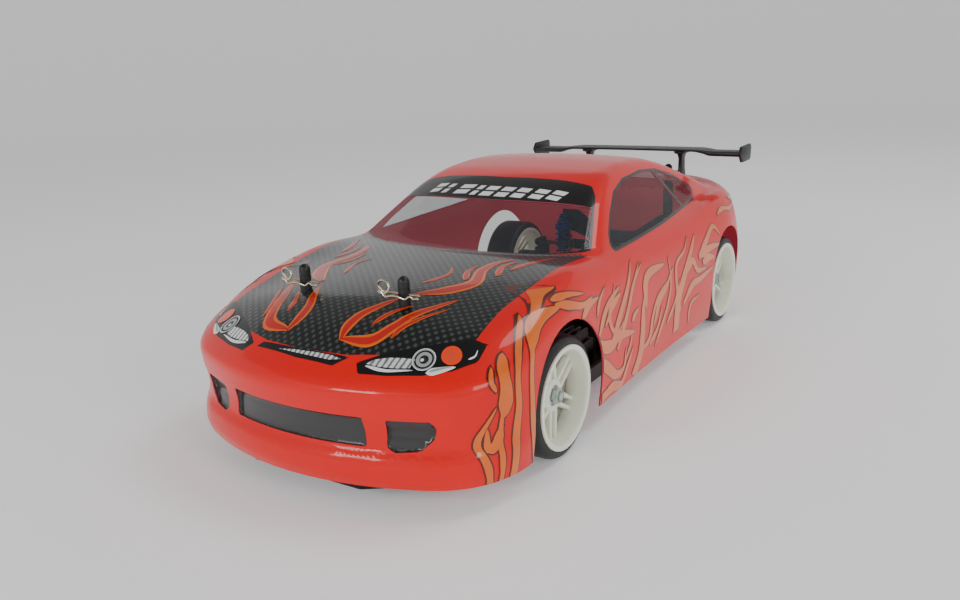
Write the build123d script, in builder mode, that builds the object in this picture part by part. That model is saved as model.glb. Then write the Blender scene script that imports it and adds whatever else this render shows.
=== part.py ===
"""Electric 1:10 four-wheel-drive drift car: chassis, drive train, suspension, steering and clip-on body.

The front is -Y and the car's left side is +X.  The ground is z = 0 and the car's length is centred on y = 0.
Corner pieces are modelled once, for the front left wheel with the axle at y = 0, and copied by placed().
"""
from build123d import *
from math import cos, exp, pi, sin
import os

os.makedirs("parts", exist_ok=True)

# ---------------------------------------------------------------- overall sizes
WHEELBASE = 260.0
BODY_WIDTH = 200.0
BODY_HEIGHT = 131.0
FRONT_OVERHANG = 100.4     # front axle to the nose
REAR_OVERHANG = 76.5       # rear axle to the back of the wing
FRONT_AXLE_Y = FRONT_OVERHANG - (FRONT_OVERHANG + WHEELBASE + REAR_OVERHANG) / 2
REAR_AXLE_Y = FRONT_AXLE_Y + WHEELBASE
MIDDLE_Y = (FRONT_AXLE_Y + REAR_AXLE_Y) / 2

FIT = 0.05            # radial clearance of a shaft or pin that turns in its bore
GAP = 0.5             # clearance between pieces that move past each other

# ---------------------------------------------------------------- wheels
TYRE_RADIUS = 32.0
AXLE_Z = TYRE_RADIUS
WHEEL_OUTER_X = 96.0
WHEEL_WIDTH = 26.0
WHEEL_INNER_X = WHEEL_OUTER_X - WHEEL_WIDTH
RIM_RADIUS = 26.2     # seat of the tyre
RIM_WALL = 1.7
RIM_LIP = 1.0
SPOKE_PAIRS = 6
SPOKE_WIDTH = 2.2
SPOKE_SPACING = 5.4
SPOKE_DEPTH = 4.0
DISH = 8.0            # from the rim's outer edge in to the face of the spokes
HUB_RADIUS = 8.5
HEX_SIZE = 12.0       # across the flats of the drive hex
HEX_LENGTH = 4.5
AXLE_RADIUS = 2.0
NUT_SIZE = 7.0
NUT_HEIGHT = 3.6

# ---------------------------------------------------------------- drive train
CUP_RADIUS = 4.4
CUP_BORE = 3.2
CUP_DEPTH = 5.5
BALL_RADIUS = 2.6
SHAFT_RADIUS = 1.5
KINGPIN_X = 66.0      # the outer ball of the drive shaft lies on the kingpin's axis
SPOOL_HALF = 22.0
RING_GEAR_RADIUS = 12.5
CENTRE_SHAFT_RADIUS = 2.0
BEVEL_RADIUS = 5.0
SPUR_RADIUS = 17.4
PINION_RADIUS = 7.0
MOTOR_RADIUS = 18.0
MOTOR_LENGTH = 54.0
MOTOR_DROP = 5.0      # the motor's axis below the centre shaft
MESH_GAP = 0.1
MOTOR_X = ((SPUR_RADIUS + PINION_RADIUS + MESH_GAP) ** 2 - MOTOR_DROP**2) ** 0.5
SPUR_Y = MIDDLE_Y + 69.0
SPUR_FACE = 5.0

# ---------------------------------------------------------------- chassis and gearboxes
PLATE_BOTTOM = 5.0
PLATE_THICKNESS = 3.0
PLATE_TOP = PLATE_BOTTOM + PLATE_THICKNESS
PLATE_HALF_WIDTH = 68.0
PLATE_NECK = 38.0
NECK_TO_AXLE = 46.0   # the wide floor starts this far from each axle
GEARBOX_HALF = 16.0
GEARBOX_TOP = 48.0
GEARBOX_WALL = 2.0
TOWER_THICKNESS = 3.0
TOWER_TOP = 73.0

# ---------------------------------------------------------------- suspension
HINGE_RADIUS = 1.5
INNER_HINGE_X = 24.0
OUTER_HINGE_X = 57.5
HINGE_Z = 14.0
ARM_HALF = 13.0
ARM_THICKNESS = 3.0
EAR = 3.5
HUB_LUG_HALF = 7.0
WEB_X = OUTER_HINGE_X
WEB_THICKNESS = 4.0
LINK_Z = 50.0
LINK_INNER_X = 28.0
LINK_Y = 5.0
LINK_WIDTH = 4.0
LINK_RADIUS = 1.6
DAMPER_X = 44.0
DAMPER_Y = -13.0
DAMPER_PIN_Z = 20.0
DAMPER_TOP_Z = 68.0
DAMPER_RADIUS = 5.5
PISTON_RADIUS = 4.1
SPRING_RADIUS = 7.3
SPRING_WIRE = 1.2
SPRING_BOTTOM = 26.0
SPRING_TOP = 60.0
TOWER_Y = DAMPER_Y - SPRING_RADIUS - 1.2   # face of the tower that the dampers hang on

# ---------------------------------------------------------------- steering
KNUCKLE_RADIUS = 7.5
KNUCKLE_INNER_X = KINGPIN_X - 3.5
KNUCKLE_OUTER_X = 77.5
BEARING_X = 71.0
KINGPIN_BOSS = 10.7
KINGPIN_TOP = 14.0
STEER_ARM = 19.0
STEER_ARM_Z = 38.0
TIE_ROD_Z = 41.5
TIE_ROD_INNER_X = 8.0
HORN_LENGTH = 14.5
HORN_Y = 22.5
HORN_THICKNESS = 3.0
SERVO_AXIS_Z = TIE_ROD_Z + HORN_LENGTH
SERVO = (40.0, 38.0, 20.0)

# ---------------------------------------------------------------- body, posts and wing
SHELL_WALL = 1.4
SKIRT_Z = 13.5
ARCH_RADIUS = 38.5
ARCH_Z = 34.0
POST_RADIUS = 3.0
POST_COLLAR = 4.0
POST_HOLE_CLEARANCE = 0.3
FRONT_POST = (32.0, 45.5)      # half the distance apart, distance ahead of the front axle
REAR_POST = (30.0, 56.0)       # half the distance apart, distance behind the rear axle
FRONT_POST_TOP = 99.3
REAR_POST_TOP = 109.0
FRONT_COLLAR_Z = 78.0
REAR_COLLAR_Z = 94.0
FRONT_CLIP_Z = 90.5
REAR_CLIP_Z = 103.5
CLIP_WIRE = 0.6
CLIP_LEG = 7.5
CLIP_LOOP = 3.0
CLIP_FLAT = 0.5      # half thickness of the loop
WING_HALF_SPAN = 90.8
WING_Z = 119.5
WING_CHORD = 27.0
WING_Y = 61.5                  # middle of the blade behind the rear axle
WING_STAY_X = 40.4
WING_STAY_FOOT = 97.0


# ---------------------------------------------------------------- helpers
def keep(part, name):
    """Label a finished piece and write its STEP file."""
    part.label = name
    export_step(part, f"parts/{name}.step")


def placed(part, left=True, front=True):
    """Copy a corner piece, modelled at the front left, to one of the four corners."""
    if not left:
        part = mirror(part, about=Plane.YZ)
    if not front:
        part = mirror(part, about=Plane.XZ)
    return Pos(0, FRONT_AXLE_Y if front else REAR_AXLE_Y, 0) * part


def rod_x(radius, x0, x1, y=0.0, z=AXLE_Z, mode=Mode.ADD):
    """A round bar along X, in the part being built."""
    with BuildSketch(Plane.YZ.offset(x0), mode=Mode.PRIVATE) as end:
        with Locations((y, z)):
            Circle(radius)
    extrude(end.sketch, amount=x1 - x0, mode=mode)


def rod_y(radius, y0, y1, x=0.0, z=AXLE_Z, mode=Mode.ADD):
    """A round bar along Y, in the part being built."""
    with BuildSketch(Plane.XZ.offset(-y0), mode=Mode.PRIVATE) as end:
        with Locations((x, z)):
            Circle(radius)
    extrude(end.sketch, amount=y0 - y1, mode=mode)


def rod_z(radius, z0, z1, x=0.0, y=0.0, mode=Mode.ADD):
    """A round bar along Z, in the part being built."""
    with BuildSketch(Plane.XY.offset(z0), mode=Mode.PRIVATE) as end:
        with Locations((x, y)):
            Circle(radius)
    extrude(end.sketch, amount=z1 - z0, mode=mode)


def block(x0, x1, y0, y1, z0, z1, mode=Mode.ADD):
    """A rectangular block between two corners, in the part being built."""
    with BuildSketch(Plane.XY.offset(z0), mode=Mode.PRIVATE) as base:
        with Locations(((x0 + x1) / 2, (y0 + y1) / 2)):
            Rectangle(x1 - x0, y1 - y0)
    extrude(base.sketch, amount=z1 - z0, mode=mode)


def hexagon_x(across_flats, x0, x1, mode=Mode.ADD):
    """A hexagon bar on the wheel's axis, in the part being built."""
    with BuildSketch(Plane.YZ.offset(x0), mode=Mode.PRIVATE) as end:
        with Locations((0, AXLE_Z)):
            RegularPolygon(across_flats / 2, 6, major_radius=False)
    extrude(end.sketch, amount=x1 - x0, mode=mode)


# ---------------------------------------------------------------- wheel: tyre, rim and stub axle
HUB_FACE_X = WHEEL_OUTER_X - DISH + 1.0
HUB_BACK_X = WHEEL_OUTER_X - DISH - SPOKE_DEPTH - HEX_LENGTH
WEB_BACK_X = WHEEL_OUTER_X - DISH - SPOKE_DEPTH

with BuildPart() as tyre:
    with BuildSketch(Plane.XZ) as tyre_section:
        with Locations(((WHEEL_INNER_X + WHEEL_OUTER_X) / 2, AXLE_Z + (RIM_RADIUS + TYRE_RADIUS) / 2)):
            Rectangle(WHEEL_WIDTH - 2 * RIM_LIP, TYRE_RADIUS - RIM_RADIUS)
        fillet(tyre_section.vertices().group_by(Axis.Y)[-1], radius=2.2)
    revolve(axis=Axis((0, 0, AXLE_Z), (1, 0, 0)))

with BuildPart() as rim:
    rod_x(RIM_RADIUS, WHEEL_INNER_X, WHEEL_OUTER_X)
    rod_x(RIM_RADIUS + RIM_LIP, WHEEL_INNER_X, WHEEL_INNER_X + RIM_LIP)
    rod_x(RIM_RADIUS + RIM_LIP, WHEEL_OUTER_X - RIM_LIP, WHEEL_OUTER_X)
    rod_x(RIM_RADIUS - RIM_WALL, WHEEL_INNER_X, WHEEL_OUTER_X, mode=Mode.SUBTRACT)
    rod_x(HUB_RADIUS, HUB_BACK_X, HUB_FACE_X)
    with BuildSketch(Plane.YZ.offset(WEB_BACK_X)):
        with Locations((0, AXLE_Z)):
            with PolarLocations((HUB_RADIUS + RIM_RADIUS - RIM_WALL) / 2, SPOKE_PAIRS):
                with Locations((0, SPOKE_SPACING / 2), (0, -SPOKE_SPACING / 2)):
                    Rectangle(RIM_RADIUS - HUB_RADIUS, SPOKE_WIDTH)
    extrude(amount=SPOKE_DEPTH)
    hexagon_x(HEX_SIZE, HUB_BACK_X, WEB_BACK_X, mode=Mode.SUBTRACT)
    rod_x(AXLE_RADIUS + FIT, WEB_BACK_X, HUB_FACE_X, mode=Mode.SUBTRACT)

with BuildPart() as axle:
    rod_x(CUP_RADIUS, KINGPIN_X - CUP_DEPTH / 2, BEARING_X - GAP)
    rod_x(CUP_BORE, KINGPIN_X - CUP_DEPTH / 2, KINGPIN_X + CUP_DEPTH / 2, mode=Mode.SUBTRACT)
    rod_x(AXLE_RADIUS, KINGPIN_X + CUP_DEPTH / 2, HUB_FACE_X + NUT_HEIGHT + 1.0)
    hexagon_x(HEX_SIZE - 0.2, KNUCKLE_OUTER_X + GAP, WEB_BACK_X)
    hexagon_x(NUT_SIZE, HUB_FACE_X, HUB_FACE_X + NUT_HEIGHT)
    rod_x(NUT_SIZE / 2 + 1.3, HUB_FACE_X, HUB_FACE_X + 1.0)

# ---------------------------------------------------------------- knuckle, hub carriers
with BuildPart() as knuckle:
    rod_x(KNUCKLE_RADIUS, KNUCKLE_INNER_X, KNUCKLE_OUTER_X)
    for side in (1, -1):
        rod_z(3.2, AXLE_Z, AXLE_Z + side * KINGPIN_BOSS, x=KINGPIN_X)
        rod_z(HINGE_RADIUS, AXLE_Z, AXLE_Z + side * KINGPIN_TOP, x=KINGPIN_X)
    block(KINGPIN_X - 3, KINGPIN_X + 3, 3, STEER_ARM + 3, STEER_ARM_Z - 3.2, STEER_ARM_Z)
    rod_x(CUP_RADIUS + GAP, KNUCKLE_INNER_X, BEARING_X, mode=Mode.SUBTRACT)
    rod_x(AXLE_RADIUS + FIT, BEARING_X, KNUCKLE_OUTER_X, mode=Mode.SUBTRACT)


def carrier_web():
    """The upright web of a hub carrier, with its lower lug and the pin of the upper link."""
    back, face = WEB_X - WEB_THICKNESS / 2, WEB_X + WEB_THICKNESS / 2
    block(back, face, -9, 9, HINGE_Z + 4, AXLE_Z + KINGPIN_TOP)
    block(back, face, -HUB_LUG_HALF, HUB_LUG_HALF, HINGE_Z, HINGE_Z + 4)
    rod_y(3.0, -HUB_LUG_HALF, HUB_LUG_HALF, x=OUTER_HINGE_X, z=HINGE_Z)
    block(back, face, -4, LINK_Y - LINK_WIDTH / 2 - GAP, AXLE_Z + KINGPIN_TOP, LINK_Z + 3)
    rod_y(1.2, 0, LINK_Y + LINK_WIDTH / 2 + 1, x=WEB_X, z=LINK_Z)


with BuildPart() as c_hub:
    carrier_web()
    for side in (1, -1):
        levels = sorted((AXLE_Z + side * (KINGPIN_BOSS + GAP / 2), AXLE_Z + side * KINGPIN_TOP))
        block(WEB_X - WEB_THICKNESS / 2, KINGPIN_X + 4, -5, 5, *levels)
        rod_z(HINGE_RADIUS + FIT, levels[0], levels[1], x=KINGPIN_X, mode=Mode.SUBTRACT)
    rod_x(6.5, WEB_X - WEB_THICKNESS, WEB_X + WEB_THICKNESS, mode=Mode.SUBTRACT)
    rod_y(HINGE_RADIUS + FIT, -HUB_LUG_HALF, HUB_LUG_HALF, x=OUTER_HINGE_X, z=HINGE_Z, mode=Mode.SUBTRACT)

with BuildPart() as rear_hub:
    carrier_web()
    rod_x(KNUCKLE_RADIUS + 1, WEB_X, KNUCKLE_OUTER_X)
    rod_x(CUP_RADIUS + GAP, WEB_X - WEB_THICKNESS, BEARING_X, mode=Mode.SUBTRACT)
    rod_x(AXLE_RADIUS + FIT, BEARING_X, KNUCKLE_OUTER_X, mode=Mode.SUBTRACT)
    rod_y(HINGE_RADIUS + FIT, -HUB_LUG_HALF, HUB_LUG_HALF, x=OUTER_HINGE_X, z=HINGE_Z, mode=Mode.SUBTRACT)

# ---------------------------------------------------------------- lower arm, upper link, damper, spring
ARM_BOTTOM = HINGE_Z - ARM_THICKNESS / 2
ARM_TOP = HINGE_Z + ARM_THICKNESS / 2
EAR_OUTER = HUB_LUG_HALF + GAP + EAR
DAMPER_EYE_HALF = 2.0
EYE_CLEARANCE = 0.9   # the lower eye is an open pivot: its pin moves on an arc

with BuildPart() as lower_arm:
    with BuildSketch(Plane.XY.offset(ARM_BOTTOM)):
        with BuildLine():
            Polyline(
                (INNER_HINGE_X, -ARM_HALF - 2), (DAMPER_X, DAMPER_Y - 4), (OUTER_HINGE_X + 2, -EAR_OUTER),
                (OUTER_HINGE_X + 2, EAR_OUTER), (INNER_HINGE_X, ARM_HALF + 2), close=True)
        make_face()
        with Locations(((INNER_HINGE_X + OUTER_HINGE_X) / 2 - 4, 2)):
            Rectangle(14, 12, mode=Mode.SUBTRACT)
    extrude(amount=ARM_THICKNESS)
    rod_y(3.0, -ARM_HALF - 2, ARM_HALF + 2, x=INNER_HINGE_X, z=HINGE_Z)
    rod_y(3.0, -EAR_OUTER, EAR_OUTER, x=OUTER_HINGE_X, z=HINGE_Z)
    block(OUTER_HINGE_X - 4, OUTER_HINGE_X + 4, -HUB_LUG_HALF - GAP, HUB_LUG_HALF + GAP,
          HINGE_Z - 4, HINGE_Z + 4, mode=Mode.SUBTRACT)
    rod_y(HINGE_RADIUS, -EAR_OUTER, EAR_OUTER, x=OUTER_HINGE_X, z=HINGE_Z)
    rod_y(HINGE_RADIUS + FIT, -ARM_HALF - 4, ARM_HALF + 4, x=INNER_HINGE_X, z=HINGE_Z, mode=Mode.SUBTRACT)
    lug_y = DAMPER_Y + DAMPER_EYE_HALF + GAP
    block(DAMPER_X - 3, DAMPER_X + 3, lug_y, lug_y + 2, HINGE_Z, DAMPER_PIN_Z + 2.5)
    rod_y(HINGE_RADIUS, DAMPER_Y - DAMPER_EYE_HALF - 1, lug_y + 2, x=DAMPER_X, z=DAMPER_PIN_Z)

with BuildPart() as upper_link:
    rod_x(LINK_RADIUS, LINK_INNER_X, OUTER_HINGE_X, y=LINK_Y, z=LINK_Z)
    for eye_x, bore in ((LINK_INNER_X, HINGE_RADIUS + FIT), (OUTER_HINGE_X, 2.0)):
        rod_y(3.2, LINK_Y - LINK_WIDTH / 2, LINK_Y + LINK_WIDTH / 2, x=eye_x, z=LINK_Z)
        rod_y(bore, LINK_Y - LINK_WIDTH / 2, LINK_Y + LINK_WIDTH / 2, x=eye_x, z=LINK_Z, mode=Mode.SUBTRACT)

DAMPER_FLOOR = 42.0

with BuildPart() as damper_body:
    rod_z(DAMPER_RADIUS, DAMPER_FLOOR, DAMPER_TOP_Z - 2, x=DAMPER_X, y=DAMPER_Y)
    rod_z(SPRING_RADIUS, SPRING_TOP + GAP / 2, SPRING_TOP + 2, x=DAMPER_X, y=DAMPER_Y)
    rod_y(3.2, DAMPER_Y - DAMPER_EYE_HALF, DAMPER_Y + DAMPER_EYE_HALF, x=DAMPER_X, z=DAMPER_TOP_Z)
    rod_y(HINGE_RADIUS + FIT, DAMPER_Y - DAMPER_EYE_HALF, DAMPER_Y + DAMPER_EYE_HALF,
          x=DAMPER_X, z=DAMPER_TOP_Z, mode=Mode.SUBTRACT)
    rod_z(PISTON_RADIUS + FIT, DAMPER_FLOOR + 1.5, DAMPER_TOP_Z - 5, x=DAMPER_X, y=DAMPER_Y, mode=Mode.SUBTRACT)
    rod_z(SHAFT_RADIUS + FIT, DAMPER_FLOOR, DAMPER_FLOOR + 2, x=DAMPER_X, y=DAMPER_Y, mode=Mode.SUBTRACT)

with BuildPart() as damper_rod:
    rod_z(SHAFT_RADIUS, DAMPER_PIN_Z, DAMPER_FLOOR + 12, x=DAMPER_X, y=DAMPER_Y)
    rod_z(PISTON_RADIUS, DAMPER_FLOOR + 10, DAMPER_FLOOR + 12, x=DAMPER_X, y=DAMPER_Y)
    rod_z(SPRING_RADIUS, SPRING_BOTTOM - 2, SPRING_BOTTOM, x=DAMPER_X, y=DAMPER_Y)
    rod_y(3.8, DAMPER_Y - DAMPER_EYE_HALF, DAMPER_Y + DAMPER_EYE_HALF, x=DAMPER_X, z=DAMPER_PIN_Z)
    rod_y(HINGE_RADIUS + EYE_CLEARANCE, DAMPER_Y - DAMPER_EYE_HALF, DAMPER_Y + DAMPER_EYE_HALF,
          x=DAMPER_X, z=DAMPER_PIN_Z, mode=Mode.SUBTRACT)

with BuildPart() as spring:
    rod_z(SPRING_RADIUS, SPRING_BOTTOM, SPRING_TOP, x=DAMPER_X, y=DAMPER_Y)
    rod_z(SPRING_RADIUS - SPRING_WIRE, SPRING_BOTTOM, SPRING_TOP, x=DAMPER_X, y=DAMPER_Y, mode=Mode.SUBTRACT)

# ---------------------------------------------------------------- drive shaft, tie rod
with BuildPart() as drive_shaft:
    rod_x(SHAFT_RADIUS, SPOOL_HALF - CUP_DEPTH / 2, KINGPIN_X)
    with Locations((SPOOL_HALF - CUP_DEPTH / 2, 0, AXLE_Z), (KINGPIN_X, 0, AXLE_Z)):
        Sphere(BALL_RADIUS)

with BuildPart() as tie_rod:
    rod_x(SHAFT_RADIUS, TIE_ROD_INNER_X, KINGPIN_X, y=STEER_ARM, z=TIE_ROD_Z)
    rod_y(2.6, STEER_ARM - 2.4, STEER_ARM + 2.4, x=TIE_ROD_INNER_X, z=TIE_ROD_Z)
    rod_z(3.0, TIE_ROD_Z - 2.4, TIE_ROD_Z + 2.4, x=KINGPIN_X, y=STEER_ARM)

corner_parts = {
    "tyre": tyre, "rim": rim, "axle": axle, "lower_arm": lower_arm, "upper_link": upper_link,
    "damper_rod": damper_rod, "spring": spring, "drive_shaft": drive_shaft,
}
front_parts = {"c_hub": c_hub, "knuckle": knuckle, "tie_rod": tie_rod}
rear_parts = {"hub_carrier": rear_hub}
for front in (True, False):
    for left in (True, False):
        corner = f"{'front' if front else 'rear'}_{'left' if left else 'right'}"
        for piece, made in {**corner_parts, **(front_parts if front else rear_parts)}.items():
            keep(placed(made.part, left, front), f"{corner}_{piece}")

four_dampers = [placed(damper_body.part, left, front) for front in (True, False) for left in (True, False)]
with BuildPart() as damper_bodies:
    add(four_dampers)
keep(damper_bodies.part, "damper_bodies")

# ---------------------------------------------------------------- gearboxes and shock towers
OUTLET = CUP_RADIUS + GAP


with BuildPart() as gearbox:
    half, wall = GEARBOX_HALF, GEARBOX_WALL
    block(-half, half, -half, half, PLATE_TOP, GEARBOX_TOP)
    block(-half + wall, half - wall, -half + wall, half - wall, PLATE_TOP + wall, GEARBOX_TOP - wall,
          mode=Mode.SUBTRACT)
    rod_x(OUTLET, -half, half, mode=Mode.SUBTRACT)
    rod_y(CENTRE_SHAFT_RADIUS + GAP, half - wall - 1, half + 1, mode=Mode.SUBTRACT)
    block(-half + 4, half - 4, TOWER_Y, -half, PLATE_TOP, GEARBOX_TOP)
    ear_y = ARM_HALF + 2 + GAP
    for side in (1, -1):
        xs = sorted((side * (half - 3), side * (INNER_HINGE_X + 3)))
        for end in (1, -1):
            block(*xs, *sorted((end * ear_y, end * (ear_y + EAR))), PLATE_TOP, HINGE_Z + 3)
        block(*sorted((side * (half - 4), side * half)), -ear_y, ear_y, PLATE_TOP, PLATE_TOP + 2)
        rod_y(HINGE_RADIUS, -ear_y, ear_y, x=side * INNER_HINGE_X, z=HINGE_Z)
        link_xs = sorted((side * (half - 4), side * (LINK_INNER_X + 3)))
        block(*link_xs, -3, LINK_Y - LINK_WIDTH / 2 - GAP, GEARBOX_TOP - wall, LINK_Z + 3)
        rod_y(HINGE_RADIUS, -1, LINK_Y + LINK_WIDTH / 2 + 1, x=side * LINK_INNER_X, z=LINK_Z)
keep(placed(gearbox.part), "front_gearbox")
keep(placed(gearbox.part, front=False), "rear_gearbox")

with BuildPart() as tower:
    with BuildSketch(Plane.XZ.offset(-TOWER_Y)):
        with BuildLine():
            Polyline(
                (-15, PLATE_TOP + 6), (15, PLATE_TOP + 6), (20, GEARBOX_TOP), (DAMPER_X + 5, TOWER_TOP - 14),
                (DAMPER_X + 5, TOWER_TOP), (DAMPER_X - 8, TOWER_TOP), (14, GEARBOX_TOP + 10),
                (-14, GEARBOX_TOP + 10), (-DAMPER_X + 8, TOWER_TOP), (-DAMPER_X - 5, TOWER_TOP),
                (-DAMPER_X - 5, TOWER_TOP - 14), (-20, GEARBOX_TOP), close=True)
        make_face()
    extrude(amount=TOWER_THICKNESS)
    for side in (1, -1):
        rod_y(HINGE_RADIUS, TOWER_Y - 1, DAMPER_Y + DAMPER_EYE_HALF + 1, x=side * DAMPER_X, z=DAMPER_TOP_Z)

tower_pair = [placed(tower.part), placed(tower.part, front=False)]
with BuildPart() as shock_towers:
    add(tower_pair)
keep(shock_towers.part, "shock_towers")

# ---------------------------------------------------------------- spools, centre shaft, motor
for name, axle_y, gear_side in (("front_spool", FRONT_AXLE_Y, 1), ("rear_spool", REAR_AXLE_Y, -1)):
    with BuildPart() as spool:
        rod_x(CUP_RADIUS, -SPOOL_HALF, SPOOL_HALF, y=axle_y)
        rod_x(RING_GEAR_RADIUS, *sorted((gear_side * 6.0, gear_side * 9.0)), y=axle_y)
        rod_x(CUP_BORE, SPOOL_HALF - CUP_DEPTH, SPOOL_HALF, y=axle_y, mode=Mode.SUBTRACT)
        rod_x(CUP_BORE, -SPOOL_HALF, -SPOOL_HALF + CUP_DEPTH, y=axle_y, mode=Mode.SUBTRACT)
    keep(spool.part, name)

shaft_front = FRONT_AXLE_Y + CUP_RADIUS + 2
shaft_rear = REAR_AXLE_Y - CUP_RADIUS - 2
with BuildPart() as centre_shaft:
    rod_y(CENTRE_SHAFT_RADIUS, shaft_front, shaft_rear)
    rod_y(BEVEL_RADIUS, shaft_front, shaft_front + 5)
    rod_y(BEVEL_RADIUS, shaft_rear - 5, shaft_rear)
    rod_y(SPUR_RADIUS, SPUR_Y - SPUR_FACE / 2, SPUR_Y + SPUR_FACE / 2)
keep(centre_shaft.part, "centre_shaft")

motor_rear = SPUR_Y - SPUR_FACE / 2 - 2
motor_z = AXLE_Z - MOTOR_DROP
with BuildPart() as motor:
    rod_y(MOTOR_RADIUS, motor_rear - MOTOR_LENGTH, motor_rear, x=MOTOR_X, z=motor_z)
    block(MOTOR_X - 12, MOTOR_X + 12, motor_rear - MOTOR_LENGTH + 6, motor_rear - 6, PLATE_TOP, motor_z)
    fillet(motor.edges().filter_by(GeomType.CIRCLE).group_by(SortBy.LENGTH)[-1], radius=1.5)
    rod_y(1.6 + FIT, motor_rear - 8, motor_rear, x=MOTOR_X, z=motor_z, mode=Mode.SUBTRACT)
keep(motor.part, "motor")

with BuildPart() as motor_pinion:
    rod_y(1.6, motor_rear - 7.5, SPUR_Y, x=MOTOR_X, z=motor_z)
    rod_y(PINION_RADIUS, SPUR_Y - SPUR_FACE / 2 - 0.5, SPUR_Y + SPUR_FACE / 2 + 0.5, x=MOTOR_X, z=motor_z)
keep(motor_pinion.part, "motor_pinion")

# ---------------------------------------------------------------- chassis plate, battery, electronics, bumper
plate_front = FRONT_AXLE_Y - FRONT_POST[1] - 22
plate_rear = REAR_AXLE_Y + REAR_POST[1] + 6
with BuildPart() as chassis_plate:
    with BuildSketch(Plane.XY.offset(PLATE_BOTTOM)) as plan:
        with BuildLine():
            right = [
                (0, plate_front), (PLATE_NECK - 6, plate_front), (PLATE_NECK, plate_front + 8),
                (PLATE_NECK, FRONT_AXLE_Y + NECK_TO_AXLE - 12), (PLATE_HALF_WIDTH, FRONT_AXLE_Y + NECK_TO_AXLE),
                (PLATE_HALF_WIDTH, REAR_AXLE_Y - NECK_TO_AXLE), (PLATE_NECK, REAR_AXLE_Y - NECK_TO_AXLE + 12),
                (PLATE_NECK, plate_rear - 8), (PLATE_NECK - 6, plate_rear), (0, plate_rear)]
            Polyline(*right, *[(-x, y) for x, y in reversed(right[1:-1])], close=True)
        make_face()
    extrude(amount=PLATE_THICKNESS)
    with BuildSketch(Plane.XY.offset(PLATE_TOP)):
        for side in (1, -1):
            with Locations((side * (PLATE_HALF_WIDTH - 1), MIDDLE_Y)):
                Rectangle(2, WHEELBASE - 2 * NECK_TO_AXLE)
    extrude(amount=6)
keep(chassis_plate.part, "chassis_plate")

BATTERY = (44.0, 138.0, 24.0)
battery_x = -PLATE_HALF_WIDTH + 2.5 + BATTERY[0] / 2
with BuildPart() as battery_pack:
    block(battery_x - BATTERY[0] / 2, battery_x + BATTERY[0] / 2, MIDDLE_Y - 62, MIDDLE_Y - 62 + BATTERY[1],
          PLATE_TOP, PLATE_TOP + BATTERY[2])
    fillet(battery_pack.edges().filter_by(Axis.Y).group_by(Axis.Z)[-1], radius=9)
keep(battery_pack.part, "battery_pack")

with BuildPart() as electronics:
    block(20, 56, MIDDLE_Y - 56, MIDDLE_Y - 14, PLATE_TOP, PLATE_TOP + 16)
    with BuildSketch(Plane.XY.offset(PLATE_TOP + 16)):
        with Locations((38, MIDDLE_Y - 35)):
            with GridLocations(5, 0, 7, 1):
                Rectangle(1.4, 36)
    extrude(amount=7)
    block(48, 65, MIDDLE_Y + 8, MIDDLE_Y + 44, PLATE_TOP, PLATE_TOP + 12)
keep(electronics.part, "electronics")

with BuildPart() as foam_bumper:
    with BuildSketch(Plane.XY.offset(PLATE_TOP)):
        with BuildLine():
            front_edge = plate_front - 23
            Polyline((-62, plate_front + 6), (-62, plate_front - 4), (-34, front_edge), (34, front_edge),
                     (62, plate_front - 4), (62, plate_front + 6), close=True)
        make_face()
    extrude(amount=30)
    fillet(foam_bumper.edges().filter_by(Axis.Z), radius=4)
keep(foam_bumper.part, "foam_bumper")

# ---------------------------------------------------------------- steering servo and its horn
servo_y = FRONT_AXLE_Y + HORN_Y + HORN_THICKNESS + GAP
servo_z = SERVO_AXIS_Z - SERVO[2] / 2
with BuildPart() as steering_servo:
    block(-SERVO[0] + 10, 10, servo_y + 1, servo_y + SERVO[1], servo_z, servo_z + SERVO[2])
    block(-SERVO[0] + 3, 17, servo_y + 10, servo_y + 12.5, servo_z, servo_z + SERVO[2])
    for x0, x1 in ((-SERVO[0] + 3, -SERVO[0] + 10), (10, 17)):
        block(x0, x1, servo_y + 5, servo_y + 10, PLATE_TOP, servo_z + SERVO[2])
    rod_y(3.0, servo_y - HORN_THICKNESS - GAP, servo_y + 2, z=SERVO_AXIS_Z)
keep(steering_servo.part, "steering_servo")

with BuildPart() as steering_horn:
    horn_y = FRONT_AXLE_Y + HORN_Y
    rod_y(5.5, horn_y, horn_y + HORN_THICKNESS, z=SERVO_AXIS_Z)
    block(-4, 4, horn_y, horn_y + HORN_THICKNESS, SERVO_AXIS_Z - HORN_LENGTH - 2.5, SERVO_AXIS_Z)
    rod_y(3.0 + FIT, horn_y, horn_y + HORN_THICKNESS, z=SERVO_AXIS_Z, mode=Mode.SUBTRACT)
keep(steering_horn.part, "steering_horn")


# ---------------------------------------------------------------- the body's form
def curve(*knots):
    """A smooth function through (position, value) knots that doesn't overshoot between them."""
    steps = [(b[1] - a[1]) / (b[0] - a[0]) for a, b in zip(knots, knots[1:])]
    slopes = [steps[0]]
    for before, after in zip(steps, steps[1:]):
        slopes.append(0.0 if before * after <= 0 else 2 * before * after / (before + after))
    slopes.append(steps[-1])

    def value(position):
        position = min(max(position, knots[0][0]), knots[-1][0])
        i = max(k for k in range(len(knots) - 1) if knots[k][0] <= position)
        (p0, v0), (p1, v1) = knots[i], knots[i + 1]
        span = p1 - p0
        s = (position - p0) / span
        return (v0 * (1 + 2 * s) * (1 - s) ** 2 + slopes[i] * span * s * (1 - s) ** 2
                + v1 * s * s * (3 - 2 * s) - slopes[i + 1] * span * s * s * (1 - s))

    return value


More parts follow.
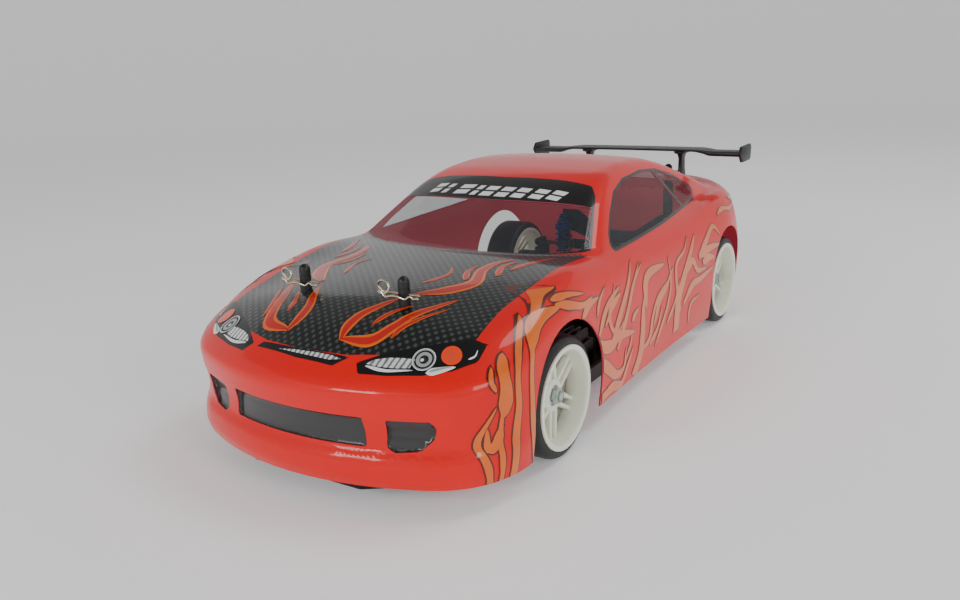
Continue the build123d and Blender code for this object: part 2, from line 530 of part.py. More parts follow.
# Lines of the body at its standard size: heights and half widths by the distance behind the middle.
DECK = curve((-232, 62), (-224, 66.5), (-214, 72), (-200, 79), (-176, 87), (-140, 91.5), (-96, 94.5),
             (-60, 95), (60, 95), (120, 96.5), (160, 98), (190, 101), (206, 101))
CROWN = curve((-232, 5), (-180, 5.3), (-140, 3.4), (-96, 1.8), (-60, 2.2), (205, 2.5))
FENDER = curve((-232, 0), (-190, 0.5), (-150, 1.5), (-120, 1.5), (-70, 0), (-20, -1), (60, 0), (110, 1.5),
               (140, 2), (180, 0), (205, -2))
HALF_WIDTH = curve((-232, 97), (-180, 98.5), (-130, 100), (-85, 98), (0, 96.5), (85, 98.5), (130, 100),
                   (150, 98.5), (180, 90.5), (206, 82))
TUCK = curve((0, 3.2), (14, 2), (30, 0.4), (45, 0), (60, 0.8), (75, 3), (90, 7.5), (105, 13))
NOSE = curve((8, -229), (20, -231.5), (40, -231), (58, -230), (66, -224), (72, -215), (85, -200), (100, -180))
ROOF = curve((-60, 113), (-37, 121.5), (-20, 126.3), (0, 129.8), (30, 131.8), (60, 130.6), (90, 126),
             (115, 119), (160, 106))
TAIL = 204.0
STANDARD = (200.0, 260.0, 131.0)      # width, wheelbase and height that the lines are drawn for


def blend(a, b, radius):
    """The larger of two values, rounded where they cross."""
    soft = 1.16 * radius
    h = min(max(0.5 + 0.5 * (a - b) / soft, 0.0), 1.0)
    return b * (1 - h) + a * h + soft * h * (1 - h)


def outside(x, y, z):
    """How far a point lies outside the body's skin, in millimetres; negative inside."""
    x = abs(x) * STANDARD[0] / BODY_WIDTH
    y = (y - MIDDLE_Y) * STANDARD[1] / WHEELBASE
    z = z * STANDARD[2] / BODY_HEIGHT
    side = x - (HALF_WIDTH(y) - TUCK(z))
    top = z - (DECK(y) - CROWN(y) * (x / 60) ** 2 + FENDER(y) * exp(-(((x - 84) / 14) ** 2)))
    ends = blend(0.95 * (NOSE(z) + 0.0031 * x**2 - y), y - (TAIL - 0.0016 * x**2), 5)
    lower = blend(blend(side, ends, 24), 0.95 * top, 8)
    glass_side = x - (85 - 0.65 * (z - 91) - 0.00042 * (y - 5) ** 2)
    screen = -95.5 + 1.97 * (z - 93) + 27 * (x / 77.5) ** 2.4 - y
    rear_glass = y - (172 - 2.75 * (z - 98) - 0.0022 * x**2)
    cabin = blend(0.84 * glass_side, blend(0.45 * screen, 0.34 * rear_glass, 3), 5)
    cabin = blend(cabin, z - (ROOF(y) - 1.5 * (x / 50) ** 2), 6)
    cabin = blend(cabin, 86 - z, 2)
    return -blend(-lower, -cabin, 3)


def skin_distance(at, near, far, level):
    """Where the skin, or the surface level mm inside it, is crossed between near and far along at(t)."""
    for _ in range(34):
        middle = (near + far) / 2
        if outside(*at(middle)) < -level:
            near = middle
        else:
            far = middle
    return near


HEART_Z = 50.0 * BODY_HEIGHT / STANDARD[2]
SECTION_POINTS = 15


def section(y, level, floor):
    """Half outline of the body at y, from the skirt's edge at the floor up to the centre line."""
    edge = skin_distance(lambda t: (t, y, floor), 0, BODY_WIDTH, level)
    start = Vector(edge, floor - HEART_Z).get_angle(Vector(0, 1)) * pi / 180
    points = []
    for i in range(SECTION_POINTS):
        angle = start * (1 - i / (SECTION_POINTS - 1))
        reach = skin_distance(lambda t: (t * sin(angle), y, HEART_Z + t * cos(angle)), 0, BODY_WIDTH, level)
        points.append((reach * sin(angle), HEART_Z + reach * cos(angle)))
    return points


def body_solid(stations, level, floor, bottom):
    """A solid lofted through sections of the skin; its flat underside is at bottom."""
    with BuildPart() as solid:
        for y in stations:
            half = section(y, level, floor)
            with BuildSketch(Plane.XZ.offset(-y)):
                with BuildLine():
                    Spline(*[(x, z) for x, z in half], *[(-x, z) for x, z in reversed(half[:-1])])
                    Polyline((-half[0][0], floor), (-half[0][0], bottom), (half[0][0], bottom), (half[0][0], floor))
                make_face()
        loft(ruled=True)
    return solid.part


def body_y(value):
    """A place along the body, from its distance behind the middle at standard size."""
    return MIDDLE_Y + value * WHEELBASE / STANDARD[1]


STATIONS = (-230.4, -228, -223, -215, -204, -190, -172, -150, -125, -105, -94, -86, -76, -64, -50, -36, -18,
            8, 40, 70, 96, 118, 136, 154, 168, 182, 195, 203.4)
outer_stations = [body_y(s) for s in STATIONS]
inner_stations = [outer_stations[0] + SHELL_WALL + 0.3] + outer_stations[1:-1] + [outer_stations[-1] - SHELL_WALL]
outer_solid = body_solid(outer_stations, 0.0, SKIRT_Z + 1, SKIRT_Z)
inner_solid = body_solid(inner_stations, SHELL_WALL, SKIRT_Z + 1, SKIRT_Z - 6)

post_places = [(side * half, FRONT_AXLE_Y - ahead) for half, ahead in (FRONT_POST,) for side in (1, -1)]
rear_post_places = [(side * half, REAR_AXLE_Y + behind) for half, behind in (REAR_POST,) for side in (1, -1)]

with BuildPart() as whole_shell:
    add(outer_solid)
    add(inner_solid, mode=Mode.SUBTRACT)
    for axle_y in (FRONT_AXLE_Y, REAR_AXLE_Y):
        rod_x(ARCH_RADIUS, -BODY_WIDTH, BODY_WIDTH, y=axle_y, z=ARCH_Z, mode=Mode.SUBTRACT)
        block(-BODY_WIDTH, BODY_WIDTH, axle_y - ARCH_RADIUS, axle_y + ARCH_RADIUS, 0, ARCH_Z, mode=Mode.SUBTRACT)
    for x, y in post_places + rear_post_places:
        rod_z(POST_RADIUS + POST_HOLE_CLEARANCE, FRONT_COLLAR_Z - 10, BODY_HEIGHT, x=x, y=y, mode=Mode.SUBTRACT)


def wide(value):
    """A half width on the body, from its standard size."""
    return value * BODY_WIDTH / STANDARD[0]


def high(value):
    """A height on the body, from its standard size."""
    return value * BODY_HEIGHT / STANDARD[2]


side_glass = [(-43, 92.5), (103, 96.5), (114, 102), (92, 112), (66, 119.5), (42, 121.5), (10, 119.5), (-24, 107)]
screen_glass = [(0, -91), (40, -87), (60, -79), (73, -66), (56, -28), (30, -36), (0, -38)]
rear_glass = [(0, 98), (28, 97), (50, 95), (58, 120), (62, 150), (40, 160), (0, 163)]


def glass_cutters():
    """Prisms that outline the windscreen, the rear window and the side windows."""
    with BuildPart() as cutters:
        with BuildSketch(Plane.YZ.offset(-wide(100))):
            with BuildLine():
                Polyline(*[(body_y(y), high(z)) for y, z in side_glass], close=True)
            make_face()
        extrude(amount=wide(200))
        for outline in (screen_glass, rear_glass):
            mirrored = outline + [(-x, y) for x, y in reversed(outline) if x > 0]
            with BuildSketch(Plane.XY.offset(high(86))):
                with BuildLine():
                    Polyline(*[(wide(x), body_y(y)) for x, y in mirrored], close=True)
                make_face()
            extrude(amount=high(50))
    return cutters.part


cutters = glass_cutters()
with BuildPart() as body_shell:
    add(whole_shell.part)
    add(cutters, mode=Mode.SUBTRACT)
keep(body_shell.part, "body_shell")

with BuildPart() as windows:
    add(whole_shell.part)
    add(cutters, mode=Mode.INTERSECT)
keep(windows.part, "windows")

# ---------------------------------------------------------------- body posts and clips
posts = [(place, FRONT_COLLAR_Z, FRONT_POST_TOP, FRONT_CLIP_Z) for place in post_places]
posts += [(place, REAR_COLLAR_Z, REAR_POST_TOP, REAR_CLIP_Z) for place in rear_post_places]

with BuildPart() as body_posts:
    for (x, y), collar_z, top, clip_z in posts:
        rod_z(POST_COLLAR, PLATE_TOP, collar_z, x=x, y=y)
        rod_z(POST_RADIUS, collar_z, top, x=x, y=y)
        rod_x(CLIP_WIRE + 0.2, x - POST_COLLAR, x + POST_COLLAR, y=y, z=clip_z, mode=Mode.SUBTRACT)
keep(body_posts.part, "body_posts")

with BuildPart() as body_clips:
    for (x, y), collar_z, top, clip_z in posts:
        rod_x(CLIP_WIRE, x - CLIP_LEG, x + CLIP_LEG, y=y, z=clip_z)
        with BuildSketch(Plane.XZ.offset(-y)) as wire_end:
            with Locations((x - CLIP_LEG * (1 if x > 0 else -1), clip_z + CLIP_LOOP)):
                Circle(CLIP_LOOP + CLIP_FLAT)
                Circle(CLIP_LOOP - CLIP_FLAT, mode=Mode.SUBTRACT)
        extrude(amount=CLIP_FLAT, both=True)
keep(body_clips.part, "body_clips")

# ---------------------------------------------------------------- rear wing
wing_y = REAR_AXLE_Y + WING_Y
with BuildPart() as rear_wing:
    with BuildSketch(Plane.YZ.offset(-WING_HALF_SPAN)):
        with BuildLine():
            Spline((wing_y - WING_CHORD / 2, WING_Z), (wing_y, WING_Z + 1.8), (wing_y + WING_CHORD / 2, WING_Z + 2.5))
            Polyline((wing_y + WING_CHORD / 2, WING_Z + 2.5), (wing_y + WING_CHORD / 2, WING_Z + 1.3),
                     (wing_y, WING_Z - 1.0), (wing_y - WING_CHORD / 2, WING_Z - 1.4),
                     (wing_y - WING_CHORD / 2, WING_Z))
        make_face()
    extrude(amount=2 * WING_HALF_SPAN)
    for side in (1, -1):
        block(side * WING_HALF_SPAN - 1.0, side * WING_HALF_SPAN + 1.0, wing_y - 15, wing_y + 15,
              WING_Z - 7, WING_Z + 5)
        block(side * WING_STAY_X - 1.6, side * WING_STAY_X + 1.6, wing_y - 10, wing_y + 4,
              WING_STAY_FOOT, WING_Z)
keep(rear_wing.part, "rear_wing")
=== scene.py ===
from math import cos, pi, radians, sin

import bmesh
import bpy
import numpy as np
from mathutils import Matrix, Vector


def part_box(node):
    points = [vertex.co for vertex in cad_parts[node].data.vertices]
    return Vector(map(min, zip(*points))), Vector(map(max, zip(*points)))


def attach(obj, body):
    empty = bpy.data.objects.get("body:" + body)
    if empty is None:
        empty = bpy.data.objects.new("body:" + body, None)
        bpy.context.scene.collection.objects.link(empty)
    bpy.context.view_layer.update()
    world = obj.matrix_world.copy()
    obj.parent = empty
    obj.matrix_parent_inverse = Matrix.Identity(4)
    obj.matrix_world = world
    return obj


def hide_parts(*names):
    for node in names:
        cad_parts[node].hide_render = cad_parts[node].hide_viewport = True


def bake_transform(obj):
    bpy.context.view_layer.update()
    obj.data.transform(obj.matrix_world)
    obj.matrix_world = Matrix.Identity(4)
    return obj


# Electric 1:10 drift car: painted coupe shell, carbon bonnet film, flame stickers, white dish wheels.
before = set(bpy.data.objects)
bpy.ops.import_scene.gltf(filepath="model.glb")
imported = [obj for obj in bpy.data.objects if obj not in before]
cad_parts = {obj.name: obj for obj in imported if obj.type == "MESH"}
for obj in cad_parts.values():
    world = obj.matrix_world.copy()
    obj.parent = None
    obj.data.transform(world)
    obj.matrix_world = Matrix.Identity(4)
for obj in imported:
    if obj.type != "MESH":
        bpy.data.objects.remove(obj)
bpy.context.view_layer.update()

MM = 0.001

# ================================================================ camera
# The camera stands ahead of the car's left front corner, a little above the roof, and leans slightly.
CAMERA_PLACE = (0.2813, -0.49613, 0.19944)       # from the middle of the wheelbase
CAMERA_AZIMUTH, CAMERA_ELEVATION, CAMERA_ROLL = 32.74, 15.66, -2.28
CAMERA_LENS = 32.65


def axle_place(corner):
    """The middle of a tyre, in millimetres."""
    low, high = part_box(corner + "_tyre")
    return (low + high) / 2 / MM


FRONT_AXLE = axle_place("front_left").y
REAR_AXLE = axle_place("rear_left").y
MIDDLE = (FRONT_AXLE + REAR_AXLE) / 2

camera = bpy.data.objects.new("camera", bpy.data.cameras.new("camera"))
bpy.context.scene.collection.objects.link(camera)
bpy.context.scene.camera = camera
camera.data.lens = CAMERA_LENS
camera.data.clip_start, camera.data.clip_end = 0.01, 20
azimuth, elevation, roll = (radians(a) for a in (CAMERA_AZIMUTH, CAMERA_ELEVATION, CAMERA_ROLL))
back = Vector((sin(azimuth) * cos(elevation), -cos(azimuth) * cos(elevation), sin(elevation)))
right = Vector((0, 0, 1)).cross(back).normalized()
up = back.cross(right)
side_axis = right * cos(roll) + up * sin(roll)
up_axis = up * cos(roll) - right * sin(roll)
turn = Matrix((side_axis, up_axis, back)).transposed().to_4x4()
place = Vector(CAMERA_PLACE) + Vector((0, MIDDLE * MM, 0))
camera.matrix_world = Matrix.Translation(place) @ turn

# ================================================================ studio
# A white bowl of paper that curves up all round the car, lit by three soft boxes: one high behind its left,
# one low ahead of it and one on its left.


def linear(value):
    """One sRGB hex colour as linear red, green, blue and alpha."""
    channels = [int(value[i:i + 2], 16) / 255 for i in (1, 3, 5)]
    return tuple(c / 12.92 if c <= 0.04045 else ((c + 0.055) / 1.055) ** 2.4 for c in channels) + (1.0,)


def node(tree, kind, settings=None, **links):
    """Add a node; settings go to its sockets or properties, links join its sockets to other outputs."""
    made = tree.nodes.new(kind)
    for key, value in (settings or {}).items():
        if isinstance(key, int) or key in made.inputs:
            made.inputs[key].default_value = value
        else:
            setattr(made, key, value)
    for key, output in links.items():
        socket = made.inputs[int(key[1:])] if key[0] == "_" else made.inputs[key.replace("_", " ")]
        tree.links.new(output, socket)
    return made


def material(name, colour, rough, metal=0.0, **extra):
    """A Principled material and its tree; extra names Principled sockets with _ for each space."""
    made = bpy.data.materials.new(name)
    made.use_nodes = True
    shader = made.node_tree.nodes["Principled BSDF"]
    shader.inputs["Base Color"].default_value = linear(colour)
    shader.inputs["Roughness"].default_value = rough
    shader.inputs["Metallic"].default_value = metal
    for key, value in extra.items():
        shader.inputs[key.replace("_", " ")].default_value = value
    made.diffuse_color = linear(colour)
    return made, made.node_tree, shader


world = bpy.data.worlds.new("white room")
bpy.context.scene.world = world
world.use_nodes = True
world.node_tree.nodes["Background"].inputs["Color"].default_value = (1, 1, 1, 1)
world.node_tree.nodes["Background"].inputs["Strength"].default_value = 0.26


def soft_box(name, place, target, size, power):
    """A rectangular area light at place, facing target."""
    lamp = bpy.data.objects.new(name, bpy.data.lights.new(name, "AREA"))
    lamp.data.shape = "RECTANGLE"
    lamp.data.size, lamp.data.size_y = size
    lamp.data.energy = power
    lamp.location = place
    lamp.rotation_mode = "QUATERNION"
    lamp.rotation_quaternion = (Vector(target) - Vector(place)).to_track_quat("-Z", "Y")
    bpy.context.scene.collection.objects.link(lamp)


soft_box("top_box", (0.5, 0.45, 1.15), (0, 0, 0), (0.5, 0.5), 4.0)
soft_box("front_box", (-0.3, -1.35, 0.62), (0, -0.2, 0.03), (0.42, 0.26), 5.0)
soft_box("side_box", (1.3, -0.55, 0.62), (0.05, -0.05, 0.05), (0.4, 0.35), 3.4)

# Paper: matt white, with a little light of its own, flat under the car and bent up beyond it so that the floor
# runs into the backdrop with no edge.
BOWL_DISC, BOWL_FLAT, BOWL_BEND, BOWL_TOP, BOWL_SIDES = 1.5, 3.0, 1.5, 3.0, 64
paper, _, paper_shader = material("studio_paper", "#FFFFFF", 0.8, Emission_Strength=0.2)
paper_shader.inputs["Emission Color"].default_value = (1, 1, 1, 1)
bowl_profile = [(BOWL_DISC, 0.0), (BOWL_FLAT, 0.0)] + [
    (BOWL_FLAT + BOWL_BEND * sin(a), BOWL_BEND - BOWL_BEND * cos(a)) for a in np.linspace(0.15, pi / 2, 10)] + [
    (BOWL_FLAT + BOWL_BEND, BOWL_TOP)]
bowl_turn = np.linspace(0, 2 * pi, BOWL_SIDES, endpoint=False)
bowl_points = [(r * cos(a), r * sin(a), z) for r, z in bowl_profile for a in bowl_turn]
bowl_faces = [tuple(range(BOWL_SIDES))]
for ring in range(len(bowl_profile) - 1):
    for j in range(BOWL_SIDES):
        low, high, after = ring * BOWL_SIDES, (ring + 1) * BOWL_SIDES, (j + 1) % BOWL_SIDES
        bowl_faces.append((low + j, high + j, high + after, low + after))
floor_mesh = bpy.data.meshes.new("paper_bowl")
floor_mesh.from_pydata(bowl_points, [], bowl_faces)
floor_mesh.materials.append(paper)
floor_mesh.polygons.foreach_set("use_smooth", np.full(len(floor_mesh.polygons), True))
floor = bpy.data.objects.new("paper_bowl", floor_mesh)
bpy.context.scene.collection.objects.link(floor)

# ================================================================ body shell
# A coupe shell vacuum-formed in one piece from clear polycarbonate and painted red; its edge is trimmed at the
# skirt and the wheel arches, and the windows stay clear. The form is one smooth function of place.
SKIRT = 13.3
ARCH_RADIUS, ARCH_HEIGHT = 38.5, 34.0
SHELL_WALL = 1.0


def curve(*knots):
    """A smooth function through (position, value) knots that doesn't overshoot between them."""
    at, value = (np.array([k[i] for k in knots], float) for i in (0, 1))
    step = np.diff(value) / np.diff(at)
    slope = np.concatenate([step[:1], np.zeros(len(at) - 2), step[-1:]])
    same = step[:-1] * step[1:] > 0
    slope[1:-1][same] = 2 * (step[:-1] * step[1:])[same] / (step[:-1] + step[1:])[same]

    def height(x):
        x = np.clip(x, at[0], at[-1])
        i = np.clip(np.searchsorted(at, x, side="right") - 1, 0, len(at) - 2)
        span = at[i + 1] - at[i]
        s = (x - at[i]) / span
        return (value[i] * (1 + 2 * s) * (1 - s) ** 2 + slope[i] * span * s * (1 - s) ** 2
                + value[i + 1] * s * s * (3 - 2 * s) - slope[i + 1] * span * s * s * (1 - s))

    return height


DECK = curve((-232, 62), (-224, 66.5), (-214, 72), (-200, 79), (-176, 87), (-140, 91.5), (-96, 94.5),
             (-60, 95), (60, 95), (120, 96.5), (160, 98), (190, 101), (206, 101))
CROWN = curve((-232, 5), (-180, 5.3), (-140, 3.4), (-96, 1.8), (-60, 2.2), (205, 2.5))
FENDER = curve((-232, 0), (-190, 0.5), (-150, 1.5), (-120, 1.5), (-70, 0), (-20, -1), (60, 0), (110, 1.5),
               (140, 2), (180, 0), (205, -2))
HALF_WIDTH = curve((-232, 97), (-180, 98.5), (-130, 100), (-85, 98), (0, 96.5), (85, 98.5), (130, 100),
                   (150, 98.5), (180, 90.5), (206, 82))
TUCK = curve((0, 3.2), (14, 2), (30, 0.4), (45, 0), (60, 0.8), (75, 3), (90, 7.5), (105, 13))
NOSE = curve((8, -225), (13, -229.5), (20, -231.5), (26, -230.5), (32, -227), (38, -226.5), (50, -229),
             (58, -230), (62, -228.5), (66, -224), (72, -215), (85, -200), (100, -180))
TAIL = curve((8, 196), (20, 201), (45, 204), (60, 204), (75, 202), (92, 203), (103, 206))
ROOF = curve((-60, 113), (-37, 121.5), (-20, 126.3), (0, 129.8), (30, 131.8), (60, 130.6), (90, 126),
             (115, 119), (160, 106))


def larger(a, b, radius):
    """The larger of two fields, rounded where they cross."""
    soft = 1.16 * radius
    h = np.clip(0.5 + 0.5 * (a - b) / soft, 0, 1)
    return b * (1 - h) + a * h + soft * h * (1 - h)


def outline_distance(outline, u, v, round_by=0.0):
    """Distance outside a closed outline, negative inside; round_by rounds its corners."""
    points = np.array(outline, float)
    inset = np.zeros(np.shape(u)) + 1e9
    inside = np.zeros(np.shape(u), bool)
    for a, b in zip(points, np.roll(points, -1, 0)):
        d = b - a
        t = np.clip(((u - a[0]) * d[0] + (v - a[1]) * d[1]) / (d @ d), 0, 1)
        inset = np.minimum(inset, np.hypot(u - a[0] - t * d[0], v - a[1] - t * d[1]))
        crosses = (a[1] > v) != (b[1] > v)
        slant = a[0] + (v - a[1]) / (d[1] if abs(d[1]) > 1e-9 else 1e-9) * d[0]
        inside ^= crosses & (u < slant)
    return np.where(inside, -inset, inset) - round_by


GRILLE = [(-40, 33), (40, 33), (39, 45.2), (-39, 45.2)]
FOG = [(52, 44.8), (70, 44.8), (71.5, 42.2), (70.2, 37.4), (65, 32.2), (54, 31.2), (51.6, 33)]


def intake_distance(x, z):
    """Distance outside the nearest of the bumper's three intakes, seen from the front."""
    grille = outline_distance(GRILLE, x, z, 1.2)
    fog = outline_distance(FOG, np.abs(x), z, 1.0)
    return np.minimum(grille, fog)


def body_distance(x, y, z):
    """How far a point lies outside the body's skin, negative inside."""
    x, y = np.abs(x), y - MIDDLE
    side = x - (HALF_WIDTH(y) - TUCK(z))
    top = z - (DECK(y) - CROWN(y) * (x / 60) ** 2 + FENDER(y) * np.exp(-(((x - 84) / 14) ** 2)))
    nose = 0.95 * (NOSE(z) + 0.0031 * x**2 - y)
    ends = larger(nose, y - (TAIL(z) - 0.0016 * x**2), 5)
    lower = larger(larger(side, ends, 24), 0.95 * top, 8)
    glass_side = x - (85 - 0.65 * (z - 91) - 0.00042 * (y - 5) ** 2)
    screen = -95.5 + 1.97 * (z - 93) + 27 * (x / 77.5) ** 2.4 - y
    rear_glass = y - (172 - 2.75 * (z - 98) - 0.0022 * x**2)
    cabin = larger(0.84 * glass_side, larger(0.45 * screen, 0.34 * rear_glass, 3), 5)
    cabin = larger(cabin, z - (ROOF(y) - 1.5 * (x / 50) ** 2), 6)
    cabin = larger(cabin, 86 - z, 2)
    return -larger(-lower, -cabin, 3)


def skin_points(origins, directions, level=0.0, reach=170.0):
    """Points where rays from inside the body meet its skin, or the surface level mm outside it."""
    near = np.zeros(len(origins))
    far = near + reach
    for _ in range(26):
        middle = (near + far) / 2
        p = origins + directions * middle[:, None]
        inside = body_distance(p[:, 0], p[:, 1], p[:, 2]) < level
        near = np.where(inside, middle, near)
        far = np.where(inside, far, middle)
    return origins + directions * near[:, None]


def skin_normals(points):
    """The skin's outward direction at points."""
    e = 0.15
    x, y, z = points.T
    g = np.stack([body_distance(x + e, y, z) - body_distance(x - e, y, z),
                  body_distance(x, y + e, z) - body_distance(x, y - e, z),
                  body_distance(x, y, z + e) - body_distance(x, y, z - e)], -1)
    return g / np.maximum(np.linalg.norm(g, axis=1), 1e-9)[:, None]


def body_grid(rows=(64, 160, 50), around=216):
    """The skin as points and triangles: a long tube with a rounded cap at each end."""
    front, rear, heart = MIDDLE - 165, MIDDLE + 150, 52.0
    tilt = np.concatenate([np.linspace(-pi / 2, 0, rows[0], endpoint=False), np.zeros(rows[1]),
                           np.linspace(0, pi / 2, rows[2] + 1)[1:]])
    along = np.concatenate([np.full(rows[0], front), np.linspace(front, rear, rows[1]), np.full(rows[2], rear)])
    turn = np.linspace(0, 2 * pi, around, endpoint=False)
    tilt, along = tilt[1:-1], along[1:-1]
    t, a = np.meshgrid(tilt, turn, indexing="ij")
    y, _ = np.meshgrid(along, turn, indexing="ij")
    directions = np.stack([np.cos(t) * np.sin(a), np.sin(t), np.cos(t) * np.cos(a)], -1).reshape(-1, 3)
    origins = np.stack([0 * y, y, 0 * y + heart], -1).reshape(-1, 3)
    ends = np.array([[0, front, heart], [0, rear, heart]], float)
    origins = np.vstack([origins, ends])
    directions = np.vstack([directions, [[0, -1, 0], [0, 1, 0]]])
    points = skin_points(origins, directions)
    count = len(tilt)
    i, j = np.meshgrid(np.arange(count - 1), np.arange(around), indexing="ij")
    k = (j + 1) % around
    a0, a1, b0, b1 = (i * around + j, i * around + k, (i + 1) * around + j, (i + 1) * around + k)
    flip = (i + j) % 2 == 0
    one = np.where(flip[..., None], np.stack([a0, a1, b1], -1), np.stack([a0, a1, b0], -1))
    two = np.where(flip[..., None], np.stack([a0, b1, b0], -1), np.stack([a1, b1, b0], -1))
    ring = np.arange(around)
    last = (count - 1) * around
    nose_fan = np.stack([np.full(around, count * around), (ring + 1) % around, ring], -1)
    tail_fan = np.stack([np.full(around, count * around + 1), last + ring, last + (ring + 1) % around], -1)
    return points, np.vstack([one.reshape(-1, 3), two.reshape(-1, 3), nose_fan, tail_fan])


def cut(points, triangles, field):
    """Split the triangles along the line where field(points) is zero."""
    value = field(points)
    value = np.where(np.abs(value) < 0.02, 0.02, value)
    sign = value > 0
    mixed = sign[triangles].any(1) & ~sign[triangles].all(1)
    kept = triangles[~mixed]
    crossed, new_points, made = {}, [], []

    def between(a, b):
        key = (a, b) if a < b else (b, a)
        if key not in crossed:
            t = value[a] / (value[a] - value[b])
            crossed[key] = len(points) + len(new_points)
            new_points.append(points[a] + t * (points[b] - points[a]))
        return crossed[key]

    for tri in triangles[mixed]:
        lone = sign[tri].sum() == 1
        first = [n for n in range(3) if sign[tri[n]] == lone][0]
        a, b, c = (int(tri[(first + n) % 3]) for n in range(3))
        ab, ac = between(a, b), between(a, c)
        made += [(a, ab, ac), (ab, b, c), (ab, c, ac)]
    if not made:
        return points, triangles
    return np.vstack([points, new_points]), np.vstack([kept, made])


def trimmed(points, triangles, keep):
    """Only the triangles in keep, with the points that they use."""
    triangles = triangles[keep]
    used, index = np.unique(triangles, return_inverse=True)
    return points[used], index.reshape(-1, 3)


def mesh_object(name, points, faces, materials, face_material=None, normals=None, smooth=True):
    """A mesh object from points in millimetres."""
    mesh = bpy.data.meshes.new(name)
    mesh.from_pydata([tuple(p) for p in np.asarray(points, float) * MM], [], [tuple(map(int, f)) for f in faces])
    for each in materials:
        mesh.materials.append(each)
    if face_material is not None:
        mesh.polygons.foreach_set("material_index", np.asarray(face_material, np.int32))
    mesh.polygons.foreach_set("use_smooth", np.full(len(mesh.polygons), smooth))
    mesh.update()
    if normals is not None:
        mesh.normals_split_custom_set_from_vertices([tuple(n) for n in normals])
    made = bpy.data.objects.new(name, mesh)
    bpy.context.scene.collection.objects.link(made)
    return made


# Outlines on the shell, each with the points that its shape needs: plan outlines are (x, y), side ones (y, z).
SCREEN = [(0, -97), (25, -95), (45, -90), (62, -81), (74.5, -70), (77, -65.5), (63, -30), (58, -23.5), (40, -23),
          (0, -25)]
REAR_SCREEN = [(0, 97), (30, 96), (52, 93), (58, 118), (61, 148), (42, 160), (0, 164)]
SIDE_GLASS = [(-47, 91.5), (-20, 92), (30, 93.5), (105, 97), (116, 102), (94, 112), (68, 119.5), (42, 121.8),
              (10, 120.5), (-10, 115.5), (-28, 106), (-42, 97)]
BONNET = [(0, -214.5), (25, -212), (42, -207), (56, -198.5), (72, -189), (77, -183), (75.5, -160), (77, -130),
          (78.5, -100), (79, -72), (62, -84), (40, -93.5), (0, -100)]
LAMP = [(33, -214.5), (36.5, -218.5), (50, -215), (65, -209), (76, -201.5), (83, -192), (82.5, -183), (76, -184),
        (70, -189), (56, -198.5), (44, -206)]
SLOT = [(-28.5, -216), (-26.5, -213.6), (0, -215), (27, -213.2), (21.5, -218.8), (0, -219)]
MASK_WIDTH = 1.5
SUN_STRIP_EDGE = -48.5       # the sun strip's lower edge at the centre line


def both_sides(outline):
    """A closed outline from its right half."""
    return outline + [(-x, y) for x, y in reversed(outline) if abs(x) > 1e-6]


def above(p, z):
    return p[:, 2] > z


def screen_field(p):
    d = outline_distance(both_sides(SCREEN), p[:, 0], p[:, 1] - MIDDLE, 0.5)
    return np.where(above(p, 88), d, 50)


def rear_screen_field(p):
    d = outline_distance(both_sides(REAR_SCREEN), p[:, 0], p[:, 1] - MIDDLE, 2.0)
    return np.where(above(p, 88), d, 50)


def side_glass_field(p):
    d = outline_distance(SIDE_GLASS, p[:, 1] - MIDDLE, p[:, 2], 0.5)
    return np.where(np.abs(p[:, 0]) > 40, d, 50)


def bonnet_field(p):
    d = outline_distance(both_sides(BONNET), p[:, 0], p[:, 1] - MIDDLE, 0.5)
    return np.where(above(p, 62), d, 50)


def lamp_field(p):
    d = outline_distance(LAMP, np.abs(p[:, 0]), p[:, 1] - MIDDLE, 0.3)
    return np.where(above(p, 60), d, 50)


def slot_field(p):
    d = outline_distance(SLOT, p[:, 0], p[:, 1] - MIDDLE, 0.2)
    return np.where(above(p, 60), d, 50)


def intake_field(p):
    d = intake_distance(p[:, 0], p[:, 2])
    return np.where(p[:, 1] < MIDDLE - 180, d, 50)


def arch_field(p):
    """Distance inside the nearest wheel arch, positive where the shell is cut away."""
    gaps = []
    for axle in (FRONT_AXLE, REAR_AXLE):
        y = p[:, 1] - axle
        round_part = ARCH_RADIUS - np.hypot(y, p[:, 2] - ARCH_HEIGHT)
        lower = np.where(p[:, 2] < ARCH_HEIGHT, ARCH_RADIUS - np.abs(y), -50)
        gaps.append(np.maximum(round_part, lower))
    return np.maximum(*gaps)


def strip_field(p):
    """Positive behind the sun strip's lower edge."""
    y = p[:, 1] - MIDDLE
    return y - (SUN_STRIP_EDGE + 8.0 * (p[:, 0] / 60) ** 2)


def pillar_field(p):
    """Distance from the side window's sloping divider."""
    y, z = p[:, 1] - MIDDLE, p[:, 2]
    return np.abs((y - 62) * 0.84 - (121 - z) * 0.54) - 1.4


points, triangles = body_grid()
points, triangles = cut(points, triangles, lambda p: SKIRT - p[:, 2])
centre = points[triangles].mean(1)
points, triangles = trimmed(points, triangles, centre[:, 2] > SKIRT)
for field in (arch_field, screen_field, lambda p: screen_field(p) - MASK_WIDTH, rear_screen_field,
              lambda p: rear_screen_field(p) - MASK_WIDTH, side_glass_field,
              lambda p: side_glass_field(p) - MASK_WIDTH, bonnet_field, lamp_field, slot_field, intake_field):
    points, triangles = cut(points, triangles, field)
points, triangles = cut(points, triangles, lambda p: np.where(screen_field(p) < 0.5, strip_field(p), 50))
points, triangles = cut(points, triangles, lambda p: np.where(side_glass_field(p) < 0.5, pillar_field(p), 50))

